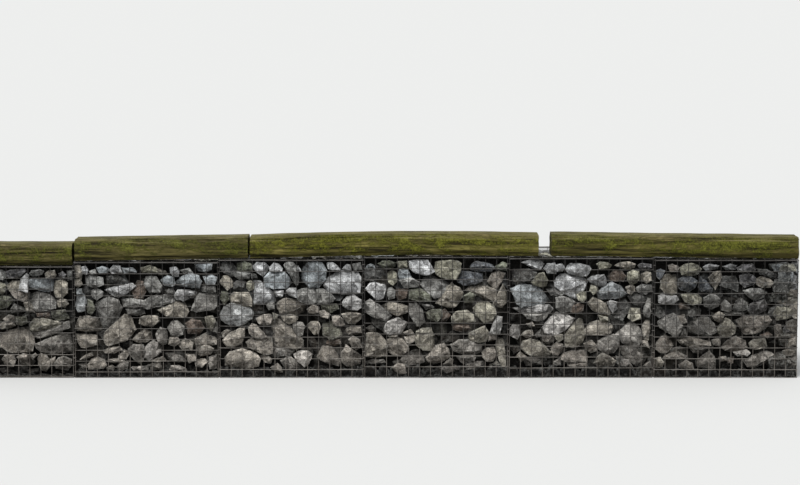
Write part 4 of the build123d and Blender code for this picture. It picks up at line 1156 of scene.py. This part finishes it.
# Meshes: round wires welded in two layers, a little wavy
wires = {
    "radius": 0.0019,
    "ringRoom": 0.0034,     # how far the meshes lie inside the basket's outer face, for the rings on them
    "lidGap": 0.0001,       # between the lid's wires and the top ones
    "groundGap": 0.0003,
    "endGap": 0.0002,
    "endInside": 4.2,       # radii from the middle of the front's level wires to the end meshes
    "wave": 0.0028,
    "waveLength": 3.2,
    "sides": 6,             # corners of a wire's section
    "frontSides": 8,
    "bends": 1,             # in each cell, the places where a wire can bend
    "frontBends": 2,
    "smoothTo": 50,         # degrees
    "base": (62, 61, 60),
    "dustAndTopLight": (150, 146, 140),   # their upper sides: dust, and painted light from above
    "dried": (140, 134, 126),   # silt dried on the lower wires
    "grime": (52, 49, 44),
    "rust": (62, 51, 42),
    "foot": (92, 88, 82),
    "dirtPattern": (9, 5, 0.65, 0.42, 0.62),
    "spotPattern": (70, 4, 0.6, 0.5, 0.7),
    "zincPattern": (300, 3, 0.5),
    "driedBetween": (0.10, 0.42),   # heights
    "footBetween": (0.02, 0.06),
    "metallic": 0.3,
    "roughness": 0.6,
    "dirtRougher": 0.25,
    "gloss": 0.3,
    "relief": (0.3, 0.0006),
}
wireRadius = wires["radius"]


def wireSet(count, spacing, length, pieces, sides):
    # parallel wires along X, one below the other along Z
    bpy.ops.object.select_all(action="DESELECT")
    bpy.ops.mesh.primitive_circle_add(vertices=sides, radius=wireRadius, fill_type="NGON",
                                      rotation=(0, math.pi / 2, 0))
    wireObject = bpy.context.object
    bpy.ops.object.transform_apply(location=True, rotation=True, scale=True)
    bpy.ops.object.mode_set(mode="EDIT")
    bpy.ops.mesh.select_all(action="SELECT")
    for piece in range(pieces):
        bpy.ops.mesh.extrude_region_move(TRANSFORM_OT_translate={"value": (length / pieces, 0, 0)})
    bpy.ops.mesh.select_all(action="SELECT")
    bpy.ops.mesh.normals_make_consistent(inside=False)
    bpy.ops.object.mode_set(mode="OBJECT")
    applyModifier(wireObject, "ARRAY", count=count, use_relative_offset=False, use_constant_offset=True,
                  constant_offset_displace=(0, 0, -spacing))
    return wireObject


def weldedMesh(name, across, down, perCell, sides):
    # a mesh in the XZ plane: level wires in front, upright wires behind them, from its top left crossing
    cell = row["cell"]
    r = wireRadius
    level = wireSet(down + 1, cell, across * cell + 2 * r, across * perCell, sides)
    level.data.transform(Matrix.Translation((-r, 0, 0)))
    upright = wireSet(across + 1, cell, down * cell + 2 * r, down * perCell, sides)
    turn = Matrix.Translation((0, 2 * r, r)) @ Matrix.Rotation(math.pi / 2, 4, "Y")
    upright.data.transform(turn)
    low = min(vert.co.x for vert in upright.data.vertices)
    upright.data.transform(Matrix.Translation((-low - r, 0, 0)))
    return joinAs(name, [level, upright])


def finishWires(piece, nodeNames):
    # a wave that all meshes share, so that welded and tied wires stay together, and then the finish
    low, high = cadBox
    for vert in piece.data.vertices:
        push = noise.noise_vector(vert.co * wires["waveLength"]) * wires["wave"]
        vert.co = [min(high[axis], max(low[axis], vert.co[axis] + push[axis])) for axis in range(3)]
    smooth(piece, wires["smoothTo"])
    settle(piece, nodeNames, wireMaterial)


def wirePaint():
    look = Look("galvanisedWire")
    dirt = look.pattern(wires["dirtPattern"])
    spots = look.pattern(wires["spotPattern"])
    height = look.split(look.place, "Z")
    lowDown = 1 - look.ramp(height, *wires["driedBetween"])
    wetFoot = 1 - look.ramp(height, *wires["footBetween"])
    up = look.ramp(look.split(look.node("ShaderNodeNewGeometry", output="Normal"), "Z"), 0.1, 0.8)
    base = look.mix(lowDown * 0.85, paint(*wires["base"]), paint(*wires["dried"]))
    # up-facing sides lighter: dust, and painted light from above
    base = look.mix(up * 0.7, base, paint(*wires["dustAndTopLight"]))
    base = look.mix(dirt * 0.5, base, paint(*wires["grime"]))
    base = look.mix(spots * 0.4, base, paint(*wires["rust"]))
    base = look.mix(wetFoot * 0.6, base, paint(*wires["foot"]))
    roughness = wires["roughness"] + dirt * wires["dirtRougher"]
    return look.finish(Base_Color=base, Metallic=wires["metallic"], Roughness=roughness,
                       Specular_IOR_Level=wires["gloss"],
                       Normal=look.bump(look.pattern(wires["zincPattern"]), *wires["relief"]))


wireMaterial = wirePaint()
across, down, deep = row["columns"], row["rows"], row["deep"]
fineMesh = weldedMesh("fineMesh", across, down, wires["frontBends"], wires["frontSides"])
plainMesh = weldedMesh("plainMesh", across, down, wires["bends"], wires["sides"])
endMesh = weldedMesh("endMesh", deep, down, wires["bends"], wires["sides"])
# which vertices belong to the level wires: they lie in front of the upright ones
levelVerts = {
    mesh.name: {vert.index for vert in mesh.data.vertices if vert.co.y < wireRadius * 0.99}
    for mesh in (fineMesh, plainMesh, endMesh)
}
frontY = -row["outerY"] + wireRadius + wires["ringRoom"]
endDepth = -frontY - wireRadius * wires["endInside"]   # the end meshes stand inside the front and back
flatWide = -frontY * 2 / (deep * row["cell"])
endWide = endDepth * 2 / (deep * row["cell"])


def uprightMesh(source, name, matrix, number):
    # a mesh whose upright wires run on below the lowest level wire
    piece = copyPiece(source, name, matrix)
    here = places[number]
    lowest = here["top"] - down * row["cell"]
    for vert in piece.data.vertices:
        if vert.co.z < lowest - wireRadius * 0.5 and vert.index not in levelVerts[source.name]:
            vert.co.z = here["foot"]
    return piece


def flatMesh(name, number, z):
    # it lies with its long wires below, tied to those of the front and the back
    flat = Matrix.Diagonal((1, flatWide, 1, 1)) @ Matrix.Rotation(math.pi / 2, 4, "X")
    return copyPiece(plainMesh, name, Matrix.Translation((places[number]["left"], frontY, z)) @ flat)


for number, here in places.items():
    top = here["top"]
    front = Matrix.Translation((here["left"], frontY, top))
    finishWires(uprightMesh(fineMesh, f"frontMesh_{number}", front, number), [f"front_panel_{number}"])
    back = Matrix.Translation((here["right"], -frontY, top)) @ Matrix.Rotation(math.pi, 4, "Z")
    finishWires(uprightMesh(plainMesh, f"backMesh_{number}", back, number), [f"back_panel_{number}"])
    lid = flatMesh(f"lidMesh_{number}", number, top + wireRadius * 2 + wires["lidGap"])
    finishWires(lid, [f"lid_panel_{number}"])
    base = flatMesh(f"baseMesh_{number}", number, wireRadius + wires["groundGap"])
    finishWires(base, [f"base_panel_{number}"])
    print("meshes of basket", number)


def endPlace(number, side):
    here = places[number]
    x = here["middle"] + side * row["endHalf"] - side * (wireRadius + wires["endGap"])
    turn = Matrix.Rotation(side * math.pi / 2, 4, "Z")
    return Matrix.Translation((x, -side * endDepth, here["top"])) @ turn @ Matrix.Diagonal((endWide, 1, 1, 1))


def endPiece(name, node, parts):
    made = []
    for number, side in parts:
        made.append(uprightMesh(endMesh, f"{name}_{number}", endPlace(number, side), number))
    finishWires(joinAs(name, made), [node])


endPiece("endMeshLeft", "end_panel_left", [(1, -1)])
for number in range(1, row["baskets"]):
    pair = f"{number}_{number + 1}"
    endPiece(f"endMeshes_{pair}", f"end_panels_{pair}", [(number, 1), (number + 1, -1)])
endPiece("endMeshRight", "end_panel_right", [(row["baskets"], 1)])
for source in (fineMesh, plainMesh, endMesh):
    bpy.data.objects.remove(source)
print("end meshes done")


# Rings of bent wire that tie the baskets together at the seams and hold the lids shut
rings = {
    "radius": 0.0014,
    "open": 26,           # degrees between the two ends of a ring
    "steps": 10,
    "sides": 5,
    "every": 2,           # cells from one ring to the next
    "seamDeep": 1.1,      # radii of a wire that a ring at a seam takes in, front to back
}


def bentRing(name, wide, high):
    # a level ring round (0, 0, 0), open toward -Y: wide and high are from its middle to that of its wire
    turn = math.radians(360 - rings["open"])
    start = math.radians(-90 + rings["open"] / 2)
    bpy.ops.object.select_all(action="DESELECT")
    bpy.ops.mesh.primitive_circle_add(vertices=rings["sides"], radius=rings["radius"], fill_type="NGON",
                                      location=(high, 0, 0), rotation=(math.pi / 2, 0, 0))
    ring = bpy.context.object
    bpy.ops.object.transform_apply(location=True, rotation=True, scale=True)
    bpy.ops.object.mode_set(mode="EDIT")
    bpy.ops.mesh.select_all(action="SELECT")
    bpy.ops.mesh.spin(steps=rings["steps"], angle=turn, center=(0, 0, 0), axis=(0, 0, 1))
    bpy.ops.mesh.select_all(action="SELECT")
    bpy.ops.mesh.normals_make_consistent(inside=False)
    bpy.ops.object.mode_set(mode="OBJECT")
    ring.data.transform(Matrix.Rotation(start, 4, "Z"))
    for vert in ring.data.vertices:   # drawn out from round to long
        if abs(vert.co.x) > 0.0001:
            vert.co.x += math.copysign(wide - high, vert.co.x)
    ring.name = name
    return ring


def tieRings(name, source, spots):
    made = [copyPiece(source, f"{name}_{index}", spot) for index, spot in enumerate(spots)]
    finishWires(joinAs(name, made), [])


def seamRings(face):
    # face -1 is the front and 1 the back; each ring holds the corner wires of two baskets
    y = face * (endDepth - frontY) / 2
    spots = []
    for number in range(1, row["baskets"]):
        x = (places[number]["right"] + places[number + 1]["left"]) / 2
        top = (places[number]["top"] + places[number + 1]["top"]) / 2
        for step in range(0, down, rings["every"]):
            z = top - (step + 0.5) * row["cell"]
            spots.append(Matrix.Translation((x, y, z)) @ Matrix.Rotation(math.pi * (face > 0), 4, "Z"))
    return spots


def lidRings(face):
    spots = []
    turned = Matrix.Rotation(math.pi * (face > 0), 4, "Z") @ Matrix.Rotation(math.pi / 2, 4, "Y")
    for here in places.values():
        for step in range(0, across, rings["every"]):
            x = here["left"] + (step + 0.5) * row["cell"]
            spots.append(Matrix.Translation((x, -face * frontY, here["top"] + wireRadius)) @ turned)
    return spots


wireAndRing = wireRadius + rings["radius"]
halfSeam = (places[2]["left"] - places[1]["right"]) / 2
seamRing = bentRing("seamRing", halfSeam + wireAndRing, wireRadius * rings["seamDeep"] + wireAndRing)
lidRing = bentRing("lidRing", wireRadius + wireAndRing, wireAndRing)
tieRings("seamRingsFront", seamRing, seamRings(-1))
tieRings("seamRingsBack", seamRing, seamRings(1))
tieRings("lidRingsFront", lidRing, lidRings(-1))
tieRings("lidRingsBack", lidRing, lidRings(1))
bpy.data.objects.remove(seamRing)
bpy.data.objects.remove(lidRing)
print("rings done")


# Sleepers. Shift takes each one to its own part of the patterns, and pith is the middle of its year rings
timbers = {
    "sleeper_1": {
        "wood": (110, 103, 60), "darker": (44, 40, 22), "moss": 0.5, "mossTone": (112, 117, 46),
        "shift": 1.7, "pith": (0, 0.22, -0.86),
    },
    "sleeper_2": {
        "wood": (109, 102, 60), "darker": (44, 40, 23), "moss": 0.5, "mossTone": (110, 114, 46),
        "shift": 4.2, "pith": (0, 0.27, -0.88),
    },
    "sleeper_3": {
        "wood": (118, 111, 60), "darker": (48, 44, 23), "moss": 0.6, "mossTone": (126, 127, 46),
        "shift": 8.9, "pith": (0, 0.20, -0.90),
    },
    "sleeper_4": {
        "wood": (110, 103, 56), "darker": (44, 41, 21), "moss": 0.55, "mossTone": (115, 118, 44),
        "shift": 13.3, "pith": (0, 0.26, -0.91),
    },
}
timberShape = {
    "height": 0.150,
    "bows": {"sleeper_3": 0.015},   # how far its ends have warped down below its middle
    "columns": 16,
    "rows": 10,
    "step": 0.02,
    "smoothTo": 40,         # degrees
    "wornEdge": 0.014,
    "wornWidth": 0.02,      # how near to a long edge the wood is worn
    "wornBelow": 0.04,      # and how far below the upper ones it is worn a little
    "wornLow": 0.3,         # share of the wear that the lower edges have
    "grainDepth": 0.0035,
    "dents": 0.003,         # how uneven the upper face is, and the sawn ends
    "sawnDepth": 0.006,
    "onFace": 0.001,        # how near to a face counts as on it
    "wearPattern": (2.5, 8, 8),   # scales of the noises along the wood, across it and up
    "grainPattern": (3, 45, 45),
    "dentPattern": (6, 6, 6),
    "sawnPattern": (30, 30, 30),
    "wear": (0.8, 1.3),     # the least wear, and how much more there is at most
    "edgeShare": 0.6,       # share of the wear on an edge, and on the side below it
    "sideShare": 0.15,
}
timberFinish = {
    "streaks": (1, 8, 0.68),
    "streaksAlong": (2.2, 46, 46),   # a pattern's scale along the wood and across it
    "broad": (1, 4, 0.55, 0.36, 0.64),
    "broadAlong": (2.2, 9, 9),
    "cracks": (1, 5, 0.6, 0.59, 0.66),
    "cracksAlong": (1.4, 75, 75),
    "tufts": (95, 6, 0.78),
    "growth": (9, 7, 0.74),
    "growthAlong": (0.7, 1, 1.4),
    "crackTone": (22, 18, 12),
    "dryTone": (122, 112, 82),
    "yearTone": (44, 38, 24),
    "yearRings": {"Scale": 34, "Distortion": 2.5, "Detail": 3, "Detail Scale": 1.5},
    "roughness": 0.92,
    "gloss": 0.12,
    "relief": (0.95, 0.008),
}


def timberPaint(name, values):
    look = Look(name + "_wood")
    shift = values["shift"]
    rise = look.attribute("rise")

    def along(kind):
        place = look.stretched(*timberFinish[kind + "Along"], shift)
        return look.pattern(timberFinish[kind], place)

    streaks, broad, cracks = along("streaks"), along("broad"), along("cracks")
    base = look.mix(look.ramp(streaks, 0.39, 0.60), paint(*values["darker"]), paint(*values["wood"]))
    base = look.scaled(base, 0.70 + broad * 0.58)
    base = look.mix(cracks * 0.75, base, paint(*timberFinish["crackTone"]))
    normal = look.node("ShaderNodeNewGeometry", output="Normal")
    up = look.split(normal, "Z")
    tufts = look.pattern(timberFinish["tufts"])
    growth = along("growth") + up * 0.06 + tufts * 0.30 + rise * 0.10
    moss = look.ramp(growth, 0.72 - values["moss"] * 0.14, 0.86 - values["moss"] * 0.14)
    mossColour = look.scaled(paint(*values["mossTone"]), 0.15 + look.ramp(tufts, 0.32, 0.68) * 1.25)
    base = look.mix(moss * 0.75, base, mossColour)
    # damp and shaded toward the underside, dry and greyer toward the top
    base = look.scaled(base, 0.42 + look.ramp(rise + streaks * 0.15, 0.05, 0.42) * 0.66)
    dry = look.ramp(rise + streaks * 0.5 + up * 0.3, 0.95, 1.45)
    dryColour = look.scaled(paint(*timberFinish["dryTone"]), 0.35 + look.ramp(streaks, 0.38, 0.62) * 0.85)
    base = look.mix(dry * 0.65, base, dryColour)
    # year rings on the sawn ends, round a pith that lies off the middle
    aside = look.split(normal, "X")
    sawn = look.ramp(aside * aside, 0.5, 0.8)
    pith = look.node("ShaderNodeMapping", inputs={"Vector": look.place, "Location": values["pith"]})
    years = look.node("ShaderNodeTexWave", {"wave_type": "RINGS", "rings_direction": "X"},
                      {"Vector": pith, **timberFinish["yearRings"]})
    base = look.mix(sawn * look.ramp(years, 0.35, 0.8) * 0.6, base, paint(*timberFinish["yearTone"]))
    height = streaks * 0.9 - cracks * 0.9 + moss * tufts * 1.8 - sawn * years * 0.15
    return look.finish(Base_Color=base, Roughness=timberFinish["roughness"],
                       Specular_IOR_Level=timberFinish["gloss"],
                       Normal=look.bump(height, *timberFinish["relief"]))


def undersideOf(name):
    # the height of a sleeper's underside along it: its two ends are read from its solid
    low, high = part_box(name)
    corners = [vert.co for vert in nodes[name].data.vertices]
    start = min(co.z for co in corners if co.x < low.x + timberShape["onFace"])
    end = min(co.z for co in corners if co.x > high.x - timberShape["onFace"])
    bow = timberShape["bows"].get(name, 0)

    def heightAt(x):
        t = (x - low.x) / (high.x - low.x)
        return start + (end - start) * t + bow * (1 - (2 * t - 1) ** 2)

    return heightAt


def makeSleeper(name, values):
    # made lying level on the ground, and lifted into its place last
    low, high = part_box(name)
    heightAt = undersideOf(name)
    low.z, high.z = 0, timberShape["height"]
    size = high - low
    middle = (low + high) / 2
    steps = round(size.x / timberShape["step"])
    bpy.ops.object.select_all(action="DESELECT")
    bpy.ops.mesh.primitive_grid_add(x_subdivisions=timberShape["rows"], y_subdivisions=timberShape["columns"],
                                    size=1, rotation=(0, math.pi / 2, 0))
    piece = bpy.context.object
    bpy.ops.object.transform_apply(location=True, rotation=True, scale=True)
    wide = Matrix.Diagonal((1, size.y, size.z, 1))
    piece.data.transform(Matrix.Translation((low.x, middle.y, middle.z)) @ wide)
    bpy.ops.object.mode_set(mode="EDIT")
    bpy.ops.mesh.select_all(action="SELECT")
    for step in range(steps):
        bpy.ops.mesh.extrude_region_move(TRANSFORM_OT_translate={"value": (size.x / steps, 0, 0)})
    bpy.ops.mesh.select_all(action="SELECT")
    bpy.ops.mesh.normals_make_consistent(inside=False)
    bpy.ops.object.mode_set(mode="OBJECT")
    shift = Vector((values["shift"], 0, 0))

    def noiseAt(co, scales):
        return noise.noise(Vector([part * scale for part, scale in zip(co, scales)]) + shift)

    def uneven(co, scales):
        # smooth noise from 0 to 1
        return 0.5 + 0.5 * noiseAt(co, scales)

    onFace = timberShape["onFace"]
    nearEdge = timberShape["wornWidth"]
    leastWear, moreWear = timberShape["wear"]
    for vert in piece.data.vertices:
        co = vert.co
        # long edges worn round, more in some places than in others
        wornNoise = noiseAt(co, timberShape["wearPattern"])
        wornHere = timberShape["wornEdge"] * (leastWear + moreWear * abs(wornNoise))
        dy = size.y / 2 - abs(co.y - middle.y)
        dz = size.z / 2 - abs(co.z - middle.z)
        dx = min(co.x - low.x, high.x - co.x)
        if dy < nearEdge and dz < nearEdge:
            share = 1 if co.z > middle.z else timberShape["wornLow"]
            co.y += math.copysign(wornHere * timberShape["edgeShare"], middle.y - co.y)
            co.z += math.copysign(wornHere * timberShape["edgeShare"], middle.z - co.z) * share
        elif dy < nearEdge and dz < timberShape["wornBelow"] and co.z > middle.z:
            co.y += math.copysign(wornHere * timberShape["sideShare"], middle.y - co.y)
        grain = timberShape["grainDepth"] * uneven(co, timberShape["grainPattern"])
        if dy < onFace:
            co.y += math.copysign(grain, middle.y - co.y)
        if dz < onFace and co.z > middle.z:
            co.z -= grain + timberShape["dents"] * uneven(co, timberShape["dentPattern"])
        if dx < onFace:
            sawn = timberShape["sawnDepth"] * uneven(co, timberShape["sawnPattern"])
            co.x += math.copysign(sawn, middle.x - co.x)
    rise = piece.data.attributes.new("rise", "FLOAT", "POINT")
    for index, vert in enumerate(piece.data.vertices):
        rise.data[index].value = vert.co.z / size.z
        vert.co.z += heightAt(vert.co.x)
    piece.name = name + "_timber"
    piece.data.name = piece.name
    smooth(piece, timberShape["smoothTo"])
    settle(piece, [name], timberPaint(name, values))
    print(name, len(piece.data.polygons), "faces")


for name, values in timbers.items():
    makeSleeper(name, values)


# Floor, light and camera
studio = {
    "floor": (200, 200, 198),
    "floorSize": 4000,       # so that it reaches the horizon
    "floorUnder": -0.0004,
    "floorBounce": (105, 103, 100),   # what the object gets back from the floor
    "backdrop": (238, 238, 238),
    "sky": (0.95, 0.97, 1.0, 1.0),
    "skyLight": 0.62,
    "sun": 3.3,
    "sunSpread": 32,         # degrees: a wide, soft light
    "sunFrom": (-2.6, -5.6, 9.6),
    # rays that meet the pale floor and backdrop
    "seenBy": ("Is Camera Ray", "Is Glossy Ray", "Is Transmission Ray"),
}
view = {
    "aside": 0.248,
    "distance": 16.0,        # from the front meshes
    "height": 2.613,
    "downDegrees": 6.0,
    "lens": 106.5,
    "sensor": 36,
    "farEnd": 2500,
}

bpy.ops.object.select_all(action="DESELECT")
bpy.ops.mesh.primitive_plane_add(size=studio["floorSize"], location=(0, 0, studio["floorUnder"]))
floor = bpy.context.object
floor.name = "studioFloor"
floorLook = Look("studioFloor")
first, second, third = (floorLook.node("ShaderNodeLightPath", output=kind) for kind in studio["seenBy"])
floorColour = floorLook.mix(first + second + third, paint(*studio["floorBounce"]), paint(*studio["floor"]))
floor.data.materials.append(floorLook.finish(Base_Color=floorColour, Roughness=0.95, Specular_IOR_Level=0.0))

world = bpy.data.worlds.new("studio")
world.use_nodes = True
bpy.context.scene.world = world
tree = world.node_tree
background = tree.nodes["Background"]
background.inputs["Color"].default_value = studio["sky"]
background.inputs["Strength"].default_value = studio["skyLight"]
seen = tree.nodes.new("ShaderNodeBackground")
seen.inputs["Color"].default_value = paint(*studio["backdrop"])
seen.inputs["Strength"].default_value = 1.0
rays = tree.nodes.new("ShaderNodeLightPath")
either = tree.nodes.new("ShaderNodeMixShader")
seenShare = rays.outputs[studio["seenBy"][0]]
for kind in studio["seenBy"][1:]:
    added = tree.nodes.new("ShaderNodeMath")   # a new one adds
    tree.links.new(seenShare, added.inputs[0])
    tree.links.new(rays.outputs[kind], added.inputs[1])
    seenShare = added.outputs[0]
tree.links.new(seenShare, either.inputs[0])
tree.links.new(background.outputs[0], either.inputs[1])
tree.links.new(seen.outputs[0], either.inputs[2])
tree.links.new(either.outputs[0], tree.nodes["World Output"].inputs["Surface"])

sunData = bpy.data.lights.new("softSun", "SUN")
sunData.energy = studio["sun"]
sunData.angle = math.radians(studio["sunSpread"])
sun = bpy.data.objects.new("softSun", sunData)
bpy.context.scene.collection.objects.link(sun)
sun.location = studio["sunFrom"]
sun.rotation_euler = (-sun.location).to_track_quat("-Z", "Y").to_euler()

camera = bpy.data.objects.new("camera", bpy.data.cameras.new("camera"))
bpy.context.scene.collection.objects.link(camera)
camera.location = (view["aside"], -row["outerY"] - view["distance"], view["height"])
camera.rotation_euler = (math.radians(90 - view["downDegrees"]), 0, 0)
camera.data.lens = view["lens"]
camera.data.sensor_width = view["sensor"]
camera.data.clip_end = view["farEnd"]
bpy.context.scene.camera = camera
bpy.context.scene.view_settings.view_transform = "Standard"

print("scene ready")
